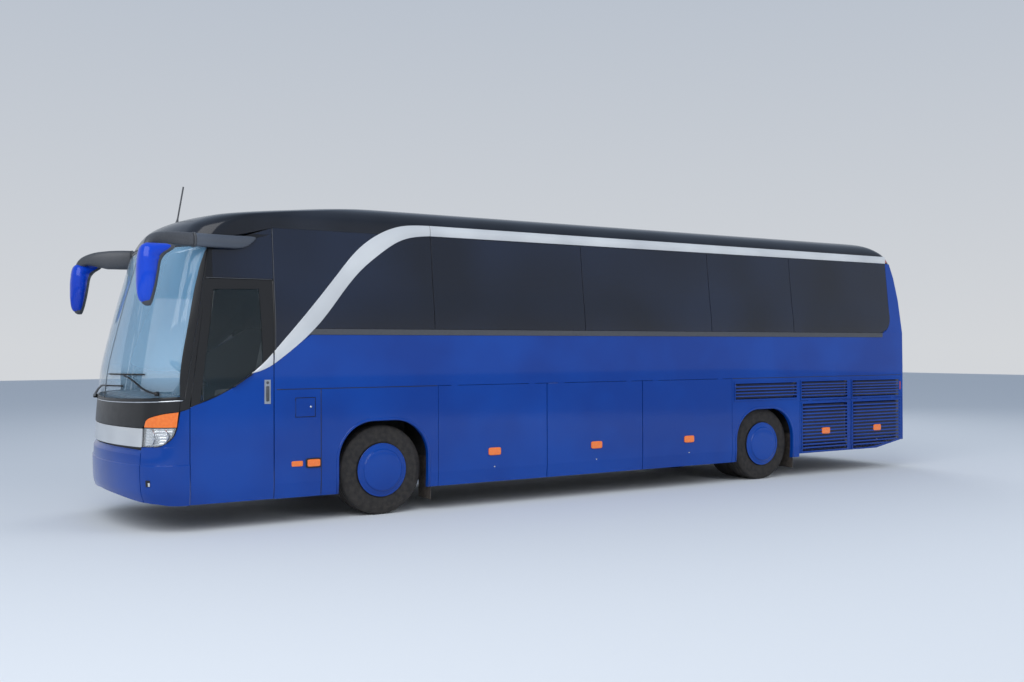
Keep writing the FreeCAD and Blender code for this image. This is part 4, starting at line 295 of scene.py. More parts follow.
def safety_glass(name, dark, light, alpha, coat, shade_from=None, foot_alpha=0.0):
    """Float glass: a body tint that drifts a little from sheet to sheet, and a hard gloss; the
    screen's pale blue tint is a painted sky reflection.
    From a height down over a third of a metre the alpha falls, a painted fade from that
    reflection to the dark dash."""
    material = surface(name, light, 0.03, (1500.0, 1.0, dark, light), IOR=1.52, Alpha=alpha,
                       Coat_Weight=coat, Coat_Roughness=0.01, Specular_IOR_Level=0.4)
    if shade_from:
        where = add(material, "TexCoord", "Object")
        add(material, "MapRange", "Result", {"interpolation_type": "SMOOTHSTEP"},
            shader_of(material)["Alpha"],
            Value=add(material, "SeparateXYZ", "Z", Vector=where),
            in1=shade_from - SHADE_DEEP, in2=shade_from, in3=foot_alpha, in4=alpha)
    material.surface_render_method = "DITHERED"
    return material


def moulded_lens(name, dark, light, alpha=1.0, ribs_mm=7.0):
    """Injection-moulded acrylic: fine upright flutes inside, a polished face outside."""
    material = surface(name, light, 0.22, (30.0, FINE, dark, light), Alpha=alpha,
                       Coat_Weight=1.0, Coat_Roughness=0.04, IOR=1.49)
    flutes = add(material, "TexWave", "Fac", {"bands_direction": "DIAGONAL"},
                 Vector=add(material, "TexCoord", "Object"),
                 Scale=1000.0 / ribs_mm / (2 * math.pi), Distortion=0.0)
    add(material, "Bump", "Normal", None, shader_of(material)["Normal"],
        Height=flutes, Distance=0.0006, Strength=BUMP)
    return material


tint = safety_glass("tinted_safety_glass", "0b1424", "142036", 0.93, 0.3)
# The screen's pale blue is a painted sky reflection; below 1.78 m it fades, painted shade from
# the dash.
clear = safety_glass("screen_glass_painted_sky_reflection", "86b8da", "9ccae8", 0.46, 0.6, 1.78, 0.12)
door_glass = safety_glass("green_toned_door_glass", "1c282d", "26343a", 0.34, 0.5)
amber = moulded_lens("amber_moulded_lens", "f0701a", "f57c24")
lens_red = moulded_lens("red_moulded_lens", "8e0f0c", "b41a14")
lens_clear = moulded_lens("clear_polycarbonate_lens", "e9eef1", "f6f8f9", 0.16, 12.0)
print(len(bpy.data.materials), "finishes")

# %% [markdown]
# The frame's own solids that stay in sight, such as walls, doors and flaps, take the finish of
# their slot in the record. Five of them need one of their own.

# %% Finishes on the frame's own nodes
BY_SLOT = {"paint_blue": blue_paint, "paint_charcoal": charcoal_paint,
           "paint_silver": silver_paint, "glass_tinted": tint, "glass_screen": clear,
           "steel_dark": steel, "rim_paint": blue_paint, "tyre": rubber,
           "lamp_clear": lens_clear, "lamp_amber": amber, "lamp_red": lens_red,
           "plastic_dark": grey_plastic, "mirror_shell": mirror_paint,
           "rubber_flap": flap_rubber, "floor_grey": grey_plastic, "seat_fabric": fabric}
BY_NODE = {"side_wall_left": wall_paint, "side_wall_right": wall_paint,
           "front_door": door_paint, "front_door_glass": door_glass,
           "mid_door_glass": door_glass}
for entry in frame["record"]["subparts"]:
    node = frame["nodes"][entry["node"]]
    node.data.materials.clear()
    node.data.materials.append(BY_NODE.get(entry["node"], BY_SLOT[entry["material_slot"]]))
print("painted", len(frame["nodes"]), "nodes")

# %% [markdown]
# Studio. A wide pale floor under a sky that cools with height, one large soft key and two
# weaker fills. Paint and glass get their look from what they mirror, so the room is bright and
# plain, and the fills, which would show as squares in the side glass, aren't mirrored.

# %% Stage and light
REACH = 60.0
ground = bpy.data.meshes.new("floor")
ground.from_pydata([(-REACH, -REACH, 0), (REACH, -REACH, 0), (REACH, REACH, 0),
                    (-REACH, REACH, 0)], [], [(0, 1, 2, 3)])
ground.materials.append(surface("pale_studio_floor", "dcdfe2", 0.9))
placed("floor", ground)

world = bpy.data.worlds.new("studio")
bpy.context.scene.world = world
world.use_nodes = True
backdrop = world.node_tree.nodes["Background"].inputs
backdrop["Strength"].default_value = 0.8
height = add(world, "SeparateXYZ", "Z", Vector=add(world, "TexCoord", "Generated"))
sky = add(world, "ValToRGB", "Color", None, backdrop["Color"],
          Fac=height).node.color_ramp.elements
sky[0].color, sky[1].color = linear("e9ecf0"), linear("aebfd6")
sky[1].position = 0.6


def lamp(name, place, aim, size, power, mirrored_by_gloss=True):
    """A square area light at a place, turned towards a point."""
    data = bpy.data.lights.new(name, "AREA")
    data.size, data.energy = size, power
    thing = placed(name, data)
    thing.location = place
    thing.visible_glossy = mirrored_by_gloss
    gaze = np.array(aim, float) - np.array(place, float)
    thing.rotation_euler = (math.acos(-gaze[2] / np.linalg.norm(gaze)), 0,
                            math.atan2(gaze[1], gaze[0]) - math.pi / 2)


lamp("key", (9, -12, 12), (0, 0, 1), 14, 1700)
lamp("fill", (14, 8, 9), (0, 2, 1), 10, 800, False)
lamp("back", (-12, 10, 10), (0, 0, 1), 9, 600, False)
bpy.context.scene.view_settings.view_transform = "Standard"
print("studio ready")

# %% [markdown]
# The body's form. A coach shell is drawn as plan outlines stacked from sill to roof: straight
# flanks, a bowed nose and tail, and an arc at each corner. Between the drawn heights a smooth
# curve is better than straight steps, because gloss paint shows every kink.

# %% Plan outlines, in metres
# Height, half width, nose, tail, corner share
BODY_LEVELS = np.array([
    (0.287, 1.263, -6.041, 6.065, 1.0), (0.450, 1.275, -6.091, 6.100, 1.0),
    (0.700, 1.275, -6.100, 6.100, 1.0), (0.900, 1.275, -6.088, 6.100, 1.0),
    (1.156, 1.275, -6.071, 6.100, 1.0), (1.374, 1.275, -6.052, 6.100, 1.0),
    (1.600, 1.275, -6.030, 6.098, 0.98), (2.130, 1.275, -5.915, 6.070, 0.9),
    (2.650, 1.223, -5.774, 6.012, 0.81), (3.000, 1.188, -5.665, 5.939, 0.78),
    (3.225, 1.166, -5.515, 5.870, 0.81), (3.300, 1.158, -5.400, 5.820, 0.86),
    (3.365, 1.145, -5.214, 5.760, 0.95), (3.420, 1.110, -4.861, 5.700, 1.1),
    (3.470, 1.055, -4.419, 5.620, 1.2), (3.510, 0.975, -4.061, 5.520, 1.2),
    (3.540, 0.850, -3.700, 5.380, 1.1), (3.560, 0.650, -3.300, 5.150, 0.9),
    (3.570, 0.400, -2.900, 4.900, 0.7)])
SILL, CROWN = BODY_LEVELS[[0, -1], 0]
NOSE, TAIL = -1, 1
# Column of the end's place, radius of its corners, radius of its bow
ENDS = {NOSE: (2, 0.42, 3.2), TAIL: (3, 0.25, 9.0)}
CANT = 3.225
FRONT_AXLE, WHEELBASE = -3.26, 6.08


def glide(at, values, wanted):
    """A smooth curve through points that never overshoots: cubic pieces whose slope at each
    point is the harmonic mean of the slopes on both sides."""
    step = np.diff(at)
    slope = np.diff(values) / step
    first, last = 2 * step[1:] + step[:-1], step[1:] + 2 * step[:-1]
    same = slope[:-1] * slope[1:] > 0
    safe = np.where(same, slope[:-1], 1.0), np.where(same, slope[1:], 1.0)
    inner = np.where(same, (first + last) / (first / safe[0] + last / safe[1]), 0.0)
    tangent = np.concatenate([slope[:1], inner, slope[-1:]])
    index = np.clip(np.searchsorted(at, wanted) - 1, 0, len(at) - 2)
    share = (wanted - at[index]) / step[index]
    return ((1 + 2 * share) * (1 - share) ** 2 * values[index]
            + share * (1 - share) ** 2 * step[index] * tangent[index]
            + share ** 2 * (3 - 2 * share) * values[index + 1]
            + share ** 2 * (share - 1) * step[index] * tangent[index + 1])


def level(z, column):
    """One column of the outline table at any height."""
    return glide(BODY_LEVELS[:, 0], BODY_LEVELS[:, column], np.clip(z, SILL, CROWN))


def corner_of(z, out=0.0, end=NOSE):
    """Half width, end, radii and centre of one end's corner arcs, and the angle at which the
    bow meets them. The bow's arc touches both corner arcs, so the centres of a corner arc and
    of the bow lie apart by the difference of their radii."""
    column, corner, crown = ENDS[end]
    half = level(z, 1) + out
    tip = level(z, column) + end * out
    radius = level(z, 4) * corner + out
    crown = crown + out
    centre = tip - end * crown + end * np.sqrt((crown - radius) ** 2 - (half - radius) ** 2)
    return half, tip, radius, crown, centre, np.arcsin((half - radius) / (crown - radius))


def wrap(t, z, out=0.0, end=NOSE):
    """A point of one end's skin. t runs from 0 on the middle line to 1 where the corner arc
    meets the flank, by arc length, and then on along the flank in metres."""
    half, tip, radius, crown, centre, angle = corner_of(z, out, end)
    bow, bend = crown * angle, radius * (math.pi / 2 - angle)
    run = np.abs(t) * (bow + bend)
    on_bow = np.minimum(run, bow) / crown
    on_bend = angle + np.clip((run - bow) / radius, 0, math.pi / 2 - angle)
    flat = run < bow
    x = np.where(flat, crown * np.sin(on_bow), half - radius + radius * np.sin(on_bend))
    y = np.where(flat, tip - end * crown * (1 - np.cos(on_bow)),
                 centre + end * radius * np.cos(on_bend))
    y = y - end * np.clip(np.abs(t) - 1, 0, None)
    return np.stack([np.sign(t) * x, y, z + 0 * t], -1)


def wrap_tail(t, z, out=0.0):
    """A point of the tail's skin."""
    return wrap(t, z, out, TAIL)


def t_at(y, z):
    """The wrap coordinate of a place y near the nose's corner: the arc length to it, over the
    whole length of bow and bend."""
    _, _, radius, crown, centre, angle = corner_of(z)
    bow, bend = crown * angle, radius * (math.pi / 2 - angle)
    turn = np.arccos(np.clip((centre - y) / radius, 0, 1))
    return np.where(centre > y, (bow + radius * (turn - angle)) / (bow + bend), 1 + y - centre)


def flank(along, z, out=0.0):
    """A point of the driver's side at a place behind the front axle: x is the half width at
    that height."""
    return np.stack([level(z, 1) + out + 0 * along, FRONT_AXLE + along + 0 * z,
                     z + 0 * along], -1)


print("nose at 1 m up:", np.round(wrap(0.0, 1.0), 3).tolist())

# %% [markdown]
# Building sheets. Every panel is a patch between four edges: two run up the body and say how
# far along they stand at each height, and two run along it and say how high they are. Its grid
# of points becomes quads, Solidify gives the pressing its gauge and Bevel its folded edge.

# %% Patches
def shares(count):
    """Even steps from 0 to 1."""
    return np.linspace(0, 1, count)


def patch(left, right, low, high, columns=24, rows=24, out=0.0, place=flank):
    """Grid of points: height goes from low(u) to high(u), then the place along goes from
    left(z) to right(z). Each edge is a number or a function of an array."""
    def read(edge, value):
        return edge(value) if callable(edge) else edge + 0 * value
    u = shares(columns) if np.isscalar(columns) else columns
    v = shares(rows) if np.isscalar(rows) else rows
    u, v = np.meshgrid(u, v)
    z = read(low, u) * (1 - v) + read(high, u) * v
    along = read(left, z) * (1 - u) + read(right, z) * u
    return place(along, z, out(z) if callable(out) else out)


def over_nose(left, right, low, high, columns, rows, out=0.0):
    """A patch on the wrapped nose."""
    return patch(left, right, low, high, columns, rows, out, wrap)


def curve(*points):
    """A function through (at, value) points, smooth and without overshoot."""
    at, values = np.array(points, float).T
    return lambda wanted: glide(at, values, np.clip(wanted, at[0], at[-1]))


def line(*points):
    """A function through (at, value) points in straight runs."""
    at, values = np.array(points, float).T
    return lambda wanted: np.interp(wanted, at, values)


def steps(*runs):
    """Rising shares from several (start, end, count) runs, for rows that crowd at an edge."""
    return np.unique(np.concatenate([np.linspace(*run) for run in runs]))


print("a patch's grid of points:", patch(0, 1, 1, 2).shape)

# %% [markdown]
# A piece gathers one or more grids in one mesh, and says which body carries it, which finish
# it has and which plain solids it stands for. The bus is nearly the same on both
# sides, so most pieces are drawn for the driver's side and mirrored.

# %% Pieces
ACROSS = [-1, 1, 1]


def mirrored(form):
    """The same grid or finished form on the other side of the bus, still facing outwards."""
    if isinstance(form, tuple):
        return form[0] * ACROSS, [group[:, ::-1] for group in form[1]]
    return form[:, ::-1] * ACROSS


def pair(*forms):
    """Forms of one side, then the same on the other side."""
    return [*forms, *(mirrored(form) for form in forms)]


def quads(rows, columns, around=False, tall=False):
    """Corner numbers of the quads of a grid, which may close around and from top to bottom."""
    index = np.arange(rows * columns).reshape(rows, columns)
    if around:
        index = np.concatenate([index, index[:, :1]], 1)
    if tall:
        index = np.concatenate([index, index[:1]], 0)
    cells = np.stack([index[:-1, :-1], index[:-1, 1:], index[1:, 1:], index[1:, :-1]], -1)
    return cells.reshape(-1, 4)


def solid(name, forms, material, body="root", thick=0.0, bevel=0.0, around=False,
          replaces=(), merge=False):
    """One object from point grids and finished (points, faces) forms. thick is the gauge,
    grown inwards, and bevel the radius of its edges."""
    points, faces, start = [], [], 0
    for form in forms if isinstance(forms, list) else [forms]:
        if not isinstance(form, tuple):
            form = form.reshape(-1, 3), [quads(*form.shape[:2], around)]
        points.append(form[0])
        faces += [group + start for group in form[1]]
        start += len(form[0])
    corners = np.concatenate([group.ravel() for group in faces])
    sizes = np.concatenate([np.full(len(group), group.shape[1]) for group in faces])
    mesh = bpy.data.meshes.new(name)
    mesh.vertices.add(start)
    mesh.vertices.foreach_set("co", np.concatenate(points).astype(np.float32).ravel())
    mesh.loops.add(len(corners))
    mesh.loops.foreach_set("vertex_index", corners.astype(np.int32))
    mesh.polygons.add(len(sizes))
    mesh.polygons.foreach_set("loop_start", np.concatenate([[0], np.cumsum(sizes)[:-1]]))
    mesh.update(calc_edges=True)
    mesh.polygons.foreach_set("use_smooth", np.full(len(sizes), True))
    mesh.validate()
    if merge:
        shell = bmesh.new()
        shell.from_mesh(mesh)
        bmesh.ops.remove_doubles(shell, verts=shell.verts, dist=1e-5)
        shell.to_mesh(mesh)
        shell.free()
    mesh.materials.append(material)
    thing = placed(name, mesh)
    if thick:
        gauge = thing.modifiers.new("gauge", "SOLIDIFY")
        gauge.thickness, gauge.offset = thick, -1.0
    if bevel:
        edge = thing.modifiers.new("edge", "BEVEL")
        edge.width, edge.segments = bevel, 2
        edge.limit_method, edge.angle_limit = "ANGLE", math.radians(50)
        edge.harden_normals = True
    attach(thing, body)
    if replaces:
        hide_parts(*([replaces] if isinstance(replaces, str) else replaces))
    return thing


print("sheet builders ready")

# %% [markdown]
# The roof and the dome over the screen are one dark moulding. Its lower edge runs along the top
# of the screen, climbs over the light above the driver's door and then follows the cant rail.

# %% Roof and dome
HEADER_LOW = 3.030
t_screen_top, rise_end = float(t_at(-5.262, HEADER_LOW)), float(t_at(-4.560, CANT))
FRONT_COLUMNS, RISE_COLUMNS, SIDE_COLUMNS, TAIL_COLUMNS, ROOF_ROWS = 61, 12, 40, 31, 44
RIDGE = (-2.5, 4.6)  # where the crown line on the middle begins and ends


def roof_grid():
    """Rings from the lower edge to the crown: the nose part, the flank and the tail part of
    one side are sampled together, then mirrored, and the last ring closes on the middle."""
    t_front = np.concatenate([shares(FRONT_COLUMNS) * t_screen_top,
                              np.linspace(t_screen_top, rise_end, RISE_COLUMNS)[1:]])
    low_front = np.interp(t_front, [0, t_screen_top, rise_end], [HEADER_LOW, HEADER_LOW, CANT])
    t_tail = shares(TAIL_COLUMNS)[::-1]
    v = shares(ROOF_ROWS)[:, None]

    def climb(low):
        """Heights that crowd towards the crown, where the skin lies almost flat."""
        return low + (CROWN - low) * (1 - (1 - v) ** 2.2)

    front = wrap(t_front + 0 * v, climb(low_front))
    tail = wrap_tail(t_tail + 0 * v, climb(CANT) + 0 * t_tail)
    share = shares(SIDE_COLUMNS)[1:-1][:, None]
    side = front[:, -1:] * (1 - share) + tail[:, :1] * share
    half = np.concatenate([front, side, tail], 1)
    ring = np.concatenate([half, mirrored(half[:, 1:-1])], 1)
    last = ring[-1:].copy()
    last[..., 0], last[..., 1], last[..., 2] = 0, np.clip(last[..., 1], *RIDGE), CROWN
    return np.concatenate([ring, last], 0)


solid("roof_and_dome", roof_grid(), charcoal_paint, thick=0.035,
      around=True, replaces="roof_shell", merge=True)
print("roof done")

# %% [markdown]
# The windscreen is one deeply wrapped sheet. A black printed border hides its bonding, so the
# clear part and the border are separate patches of one skin.

# %% Windscreen
SCREEN_LOW, SCREEN_TOP, CLEAR_HIGH = 1.372, 3.025, 2.985
screen_edge = line((SCREEN_LOW, -5.544), (SCREEN_TOP, -5.266))
clear_side = curve((SCREEN_LOW, 0.942), (1.65, 0.930), (2.20, 0.924), (2.70, 0.932),
                   (3.0, 0.955))


def screen_side(z):
    """Wrap coordinate of the screen's side edge."""
    return t_at(screen_edge(z), z)


def trim_height(t):
    """The screen's lower edge dips a little towards the middle, as a parabola."""
    return 1.340 + 0.034 * np.clip(np.abs(t), 0, 1) ** 2


def trim_at(rise):
    """An edge that stands a little above the screen's foot, by share across the nose."""
    return lambda u: trim_height(2 * u - 1) + rise


def clear_left(z):
    """The clear part's left side, as its right side mirrored."""
    return -clear_side(z)


glass_low, clear_low = trim_at(0.006), trim_at(0.041)
solid("windscreen_glass", over_nose(clear_left, clear_side, clear_low, CLEAR_HIGH, 81, 40),
      clear, thick=0.006, replaces="windscreen")
borders = [over_nose(lambda z: -screen_side(z), clear_left, SCREEN_LOW, SCREEN_TOP, 8, 40),
           over_nose(clear_side, screen_side, SCREEN_LOW, SCREEN_TOP, 8, 40),
           over_nose(clear_left, clear_side, glass_low, clear_low, 81, 4),
           over_nose(clear_left, clear_side, CLEAR_HIGH, SCREEN_TOP, 81, 4),
           over_nose(-0.0035, 0.0035, 1.36, CLEAR_HIGH, 3, 40, 0.0005)]
solid("windscreen_border", borders, black_trim, thick=0.008)
print("screen done")

# %% [markdown]
# Below the screen come the black mask, the silver band and the lamps, and round them the blue
# corner panels and the bumper. All are cut from the same wrapped skin.

# %% Mask, pillars and band
LAMP_IN, SEAM_T, MASK_OUT = 0.703, 0.686, 0.945
DOOR_LINE = -5.488  # where the nose's side panels end, ahead of the doors
indicator_top = curve((0.0, 1.113), (0.04, 1.165), (0.30, 1.212), (0.66, 1.241), (1.0, 1.256))


def mask_low(t):
    """The mask's lower edge: over the silver band, then over each indicator."""
    away = np.clip((np.abs(t) - LAMP_IN) / (MASK_OUT - LAMP_IN), 0, 1)
    return np.where(np.abs(t) < LAMP_IN - 0.012, 1.094, indicator_top(away) + 0.006)


lamp_run = (0.5 + LAMP_IN / 2 / MASK_OUT - 0.01, 1, 24)
mask_columns = np.unique([*shares(40), *np.linspace(*lamp_run), *(1 - np.linspace(*lamp_run))])
solid("nose_mask", over_nose(-MASK_OUT, MASK_OUT, lambda u: mask_low((2 * u - 1) * MASK_OUT),
                             trim_at(-0.004), mask_columns, 14), black_trim,
      thick=0.012, bevel=0.003, replaces="nose_frame")
door_front_line = line((0.2, DOOR_LINE), (1.300, DOOR_LINE), (2.650, -5.308), (3.025, -5.256))
pillar = over_nose(lambda z: np.where(z < SCREEN_LOW, MASK_OUT + 0.002, screen_side(z) + 0.004),
                   lambda z: t_at(door_front_line(z), z), lambda u: 1.264 + 0.028 * u,
                   SCREEN_TOP, 12, 60)
solid("screen_pillars", pair(pillar), black_trim, thick=0.03, bevel=0.004)
solid("nose_band", over_nose(-SEAM_T + 0.004, SEAM_T - 0.004, 0.894, 1.088, 70, 10, -0.004),
      silver_paint, thick=0.02, bevel=0.006)
solid("screen_foot_trim", over_nose(-0.962, 0.962, trim_at(-0.003), trim_at(0.007), 81, 3,
                                    0.004), chrome, thick=0.006)
print("mask and band done")

# %% Corner panels and bumper
sill_edge = curve((0.0, 0.392), (0.3, 0.372), (0.62, 0.330), (0.8, 0.310), (0.9, 0.292),
                  (1.1, 0.287))
lamp_edge = line((0.287, SEAM_T), (0.893, SEAM_T), (0.897, 0.80), (0.905, 0.835),
                 (0.931, 0.870), (0.975, 0.905), (1.015, 0.924), (1.09, 0.939), (1.262, 0.950))


def crease(z):
    """The bumper steps out 10 mm below its crease."""
    return 0.010 * np.clip((0.712 - z) / 0.007, 0, 1)


def lip(z):
    """The bumper's top rolls back over 45 mm; its face steps out below the crease."""
    return crease(z) - 0.030 * np.clip((z - 0.818) / 0.045, 0, 1) ** 1.5


corner = over_nose(lambda z: lamp_edge(z) + 0.003, lambda z: t_at(DOOR_LINE + 0 * z, z),
                   lambda u: sill_edge(SEAM_T + u * (1.02 - SEAM_T)),
                   lambda u: 1.260 + 0.030 * u, 40,
                   steps((0, 0.6, 30), (0.6, 0.7, 26), (0.7, 1, 24), (0.37, 0.44, 24)), crease)
solid("corner_panels", pair(corner), blue_paint, thick=0.012, bevel=0.004)
bumper = over_nose(-SEAM_T + 0.003, SEAM_T - 0.003,
                   lambda u: sill_edge(np.abs(2 * u - 1) * SEAM_T),
                   lambda u: 0.864 + 0.012 * (1 - np.abs(2 * u - 1)), 81,
                   steps((0, 0.88, 34), (0.88, 1, 16), (0.62, 0.74, 30)), lip)
solid("bumper_middle", bumper, blue_paint, thick=0.012, bevel=0.004,
      replaces="front_bumper")
# A black plate paints the shade inside the tow eye's square opening, and a silver strip in it
# paints the highlight on the opening's lit side.
solid("tow_hatch", over_nose(0.735, 0.771, 0.492, 0.560, 8, 8, 0.012), black_trim,
      thick=0.003, bevel=0.001)
solid("tow_hatch_pull", over_nose(0.754, 0.768, 0.497, 0.535, 6, 6, 0.014), silver_paint,
      thick=0.002)
# The black sheet 55 mm behind the nose is painted shade: it is what shows in the gaps between
# mask, band, lamps and bumper.
solid("nose_gap_painted_shade", over_nose(-0.99, 0.99, 0.80, 1.36, 61, 12, -0.055), black_trim,
      thick=0.01)
print("nose done")

# %% [markdown]
# Lamps. Each nose corner carries a clear unit under an amber one, both flush with the skin.
# Behind the clear lens sit two deep reflectors, so the lamp reads as glass over a bright bowl.
# A bowl is turned: a profile of places and radii goes once around an axis.

# %% Turned forms
def capped(ring, first, last):
    """Closes a stack of rings with a fan to one point at each end."""
    rows, count = ring.shape[:2]
    points = np.concatenate([ring.reshape(-1, 3), [first, last]])
    here = np.arange(count)
    after = (here + 1) % count
    top = (rows - 1) * count
    fans = [np.stack([0 * here + rows * count, after, here], -1),
            np.stack([top + here, top + after, 0 * here + rows * count + 1], -1)]
    return points, [quads(rows, count, True)] + fans


def around_once(count):
    """Even angles once around, as one row."""
    return np.linspace(0, 2 * math.pi, count, endpoint=False)[None, :]


def lathe(profile, at, count=96, axis=0, loop=False, ripple=None):
    """A turned form about an axis through a point. Profile rows are (along, radius); a loop
    closes on itself, otherwise both ends lie on the axis."""
    profile = np.asarray(profile, float)
    angle = around_once(count)
    body = profile if loop else profile[1:-1]
    along, radius = body[:, :1] + 0 * angle, body[:, 1:] + 0 * angle
    if ripple:
        radius = radius + ripple(along, radius, angle)
    ring = np.roll(np.stack([along, radius * np.cos(angle), radius * np.sin(angle)], -1),
                   axis, -1) + np.asarray(at, float)
    if loop:
        return ring.reshape(-1, 3), [quads(len(body), count, True, True)]
    ends = np.zeros((2, 3))
    ends[:, axis] = profile[0, 0], profile[-1, 0]
    return capped(ring, *(ends + np.asarray(at, float)))


def turned_ahead(profile, at, count):
    """A turned form whose profile runs towards the nose."""
    points, faces = lathe(profile, (0, 0, 0), count, axis=1)
    return points * [1, -1, 1] + at, [group[:, ::-1] for group in faces]


print("points of a small cone:", len(lathe([(0, 0), (0, 1), (1, 0)], (0, 0, 0), 8)[0]))

# %% Nose lamps
clear_edge = curve((0.902, 0.800), (0.915, 0.838), (0.931, 0.863), (0.970, 0.893),
                   (1.015, 0.917), (1.094, 0.932))
head_lens = over_nose(LAMP_IN, clear_edge, 0.904, 1.094, 26, 22)
solid("headlamp_lenses", pair(head_lens), lens_clear, thick=0.004, bevel=0.001,
      replaces="headlamps")
amber_lens = over_nose(LAMP_IN, lambda z: 0.936 + 0.030 * (z - 1.1), 1.101, indicator_top, 30,
                       14)
solid("turn_lamp_lenses", pair(amber_lens), amber, thick=0.010, bevel=0.002,
      replaces="amber_lamps")
bowls = []
for t_bowl, z_bowl, radius in ((0.766, 1.000, 0.080), (0.862, 1.012, 0.066)):
    # A closed back, a rim, then the bright paraboloid from the rim to its deepest point
    bowl = [(-0.056, 0), (-0.056, 0.02), (-0.004, radius + 0.004), (0.0, radius + 0.002)] + [
        (-0.050 * (1 - share ** 2), radius * share) for share in shares(10)[::-1]]
    bowls.append(turned_ahead(bowl, wrap(t_bowl, z_bowl, -0.014), 40))
housing = over_nose(LAMP_IN + 0.004, lambda z: clear_edge(z) - 0.006, 0.908, 1.090, 30, 20,
                    lambda z: -0.038 + 0.006 * np.cos((z - 0.9) * 210.0))
solid("headlamp_bowls", pair(*bowls), chrome)
solid("headlamp_housings", pair(housing), chrome, thick=0.003)
print("lamps done")

# %% [markdown]
# The flank. Side glass is bonded flush, so it is one smooth curved sheet cut by thin black
# joints. A frame or band on it is ruled: straight steps from one drawn row of points to
# another. From here on, places along the side are measured behind the front axle.

# %% Rows and rings
def spline(points, count):
    """Even steps along a natural cubic through a few points."""
    points = np.asarray(points, float)
    chord = np.concatenate([[0], np.cumsum(np.linalg.norm(np.diff(points, axis=0), axis=1))])
    step = np.diff(chord)[:, None]
    slope = np.diff(points, axis=0) / step
    bend = np.zeros_like(points)
    if len(points) > 2:
        inner = (np.diag(2 * (step[:-1] + step[1:])[:, 0]) + np.diag(step[1:-1, 0], 1)
                 + np.diag(step[1:-1, 0], -1))
        bend[1:-1] = np.linalg.solve(inner, 6 * np.diff(slope, axis=0))
    at = np.linspace(0, chord[-1], count)
    index = np.clip(np.searchsorted(chord, at) - 1, 0, len(step) - 1)
    h, u = step[index], (at - chord[index])[:, None]
    w = h - u
    return ((bend[index] * w ** 3 + bend[index + 1] * u ** 3) / (6 * h)
            + (points[index] / h - bend[index] * h / 6) * w
            + (points[index + 1] / h - bend[index + 1] * h / 6) * u)


def ruled(first, last, rows, out=0.0):
    """A grid on the flank ruled between two rows of (along, height) points. out may be a
    function of the share across."""
    v = shares(rows)[:, None, None]
    both = first * (1 - v) + last * v
    return flank(both[..., 0], both[..., 1], out(v[..., 0]) if callable(out) else out)


def loop_of(foot, *corners, count=24):
    """A closed loop: a smooth foot, then straight sides through the corners and back."""
    stops = [foot[-1], *corners, foot[0]]
    return np.concatenate([spline(side, count)[:-1] for side in (foot, *zip(stops, stops[1:]))])


def frame_ring(outer, inner, rows=4, out=0.0):
    """A closed frame between two loops of equally many points, counterclockwise as seen."""
    grid = ruled(outer, inner, rows, out)
    return grid.reshape(-1, 3), [quads(*grid.shape[:2], True)]


print("points round a window:", len(loop_of([(0, 0), (1, 0)], (1, 1), (0, 1))))

# %% Side glass
DIVIDERS = (-1.300, 0.660, 2.860, 5.050, 6.680, 8.860)
GLASS_LOW, GLASS_HIGH, JOINT, CORNER = 2.129, 3.229, 0.004, 0.25


def rear_edge(z):
    """The last pane's rear edge: upright, with a quarter circle at its foot."""
    drop = np.clip(GLASS_LOW + CORNER - z, 0, CORNER)
    return DIVIDERS[-1] - CORNER + np.sqrt(CORNER ** 2 - drop ** 2)


first_low = curve((0.0, 1.79), (0.155, 2.05), (0.21, GLASS_LOW), (1.0, GLASS_LOW))
quarter_front = line((2.664, -2.026), (3.225, -1.965))
panes = [patch(front + JOINT, rear_edge if rear == DIVIDERS[-1] else rear - JOINT,
               first_low if front == DIVIDERS[0] else GLASS_LOW, GLASS_HIGH, 30, 24)
         for front, rear in zip(DIVIDERS, DIVIDERS[1:])]
panes.append(patch(quarter_front, DIVIDERS[0] - JOINT, 2.664, lambda u: 2.984 + 0.236 * u, 16,
                   16))
tail_pane = patch(-0.665, 0.665, 2.235, 2.995, 50, 20, place=wrap_tail)
solid("side_panes", pair(*panes) + [tail_pane[:, ::-1]], tint, thick=0.006,
      bevel=0.0015, replaces="window_glass")
BARS = [(place - 0.03, place + 0.03, 2.10, 3.226, 4, 20) for place in DIVIDERS[1:-1]] + [
    (-1.335, -1.265, 1.90, 3.226, 4, 20), (-0.9, 8.70, 2.06, 2.16, 40, 4),
    (-1.30, 8.88, 3.19, 3.226, 40, 4)]
solid("glass_bonding", pair(*(patch(*bar, -0.0065) for bar in BARS)), black_trim,
      thick=0.003)
solid("belt_strips", pair(patch(-0.93, 8.66, 2.062, 2.126, 60, 5, 0.005)), grey_plastic,
      thick=0.012, bevel=0.003)
print(len(panes), "panes a side")

# %% [markdown]
# Joints make the flank read as separate panels. They could be grooves, but the walls are the
# frame's own solids, so a thin line of black sealant stands 0.6 mm proud over each one.

# %% Joints between panels
WAIST, LINE, PROUD = 1.4675, 0.004, 0.0006


def seam_line(front, rear):
    """A sealed joint along the waist."""
    return patch(front, rear, WAIST - LINE, WAIST + LINE, 30, 3, PROUD)


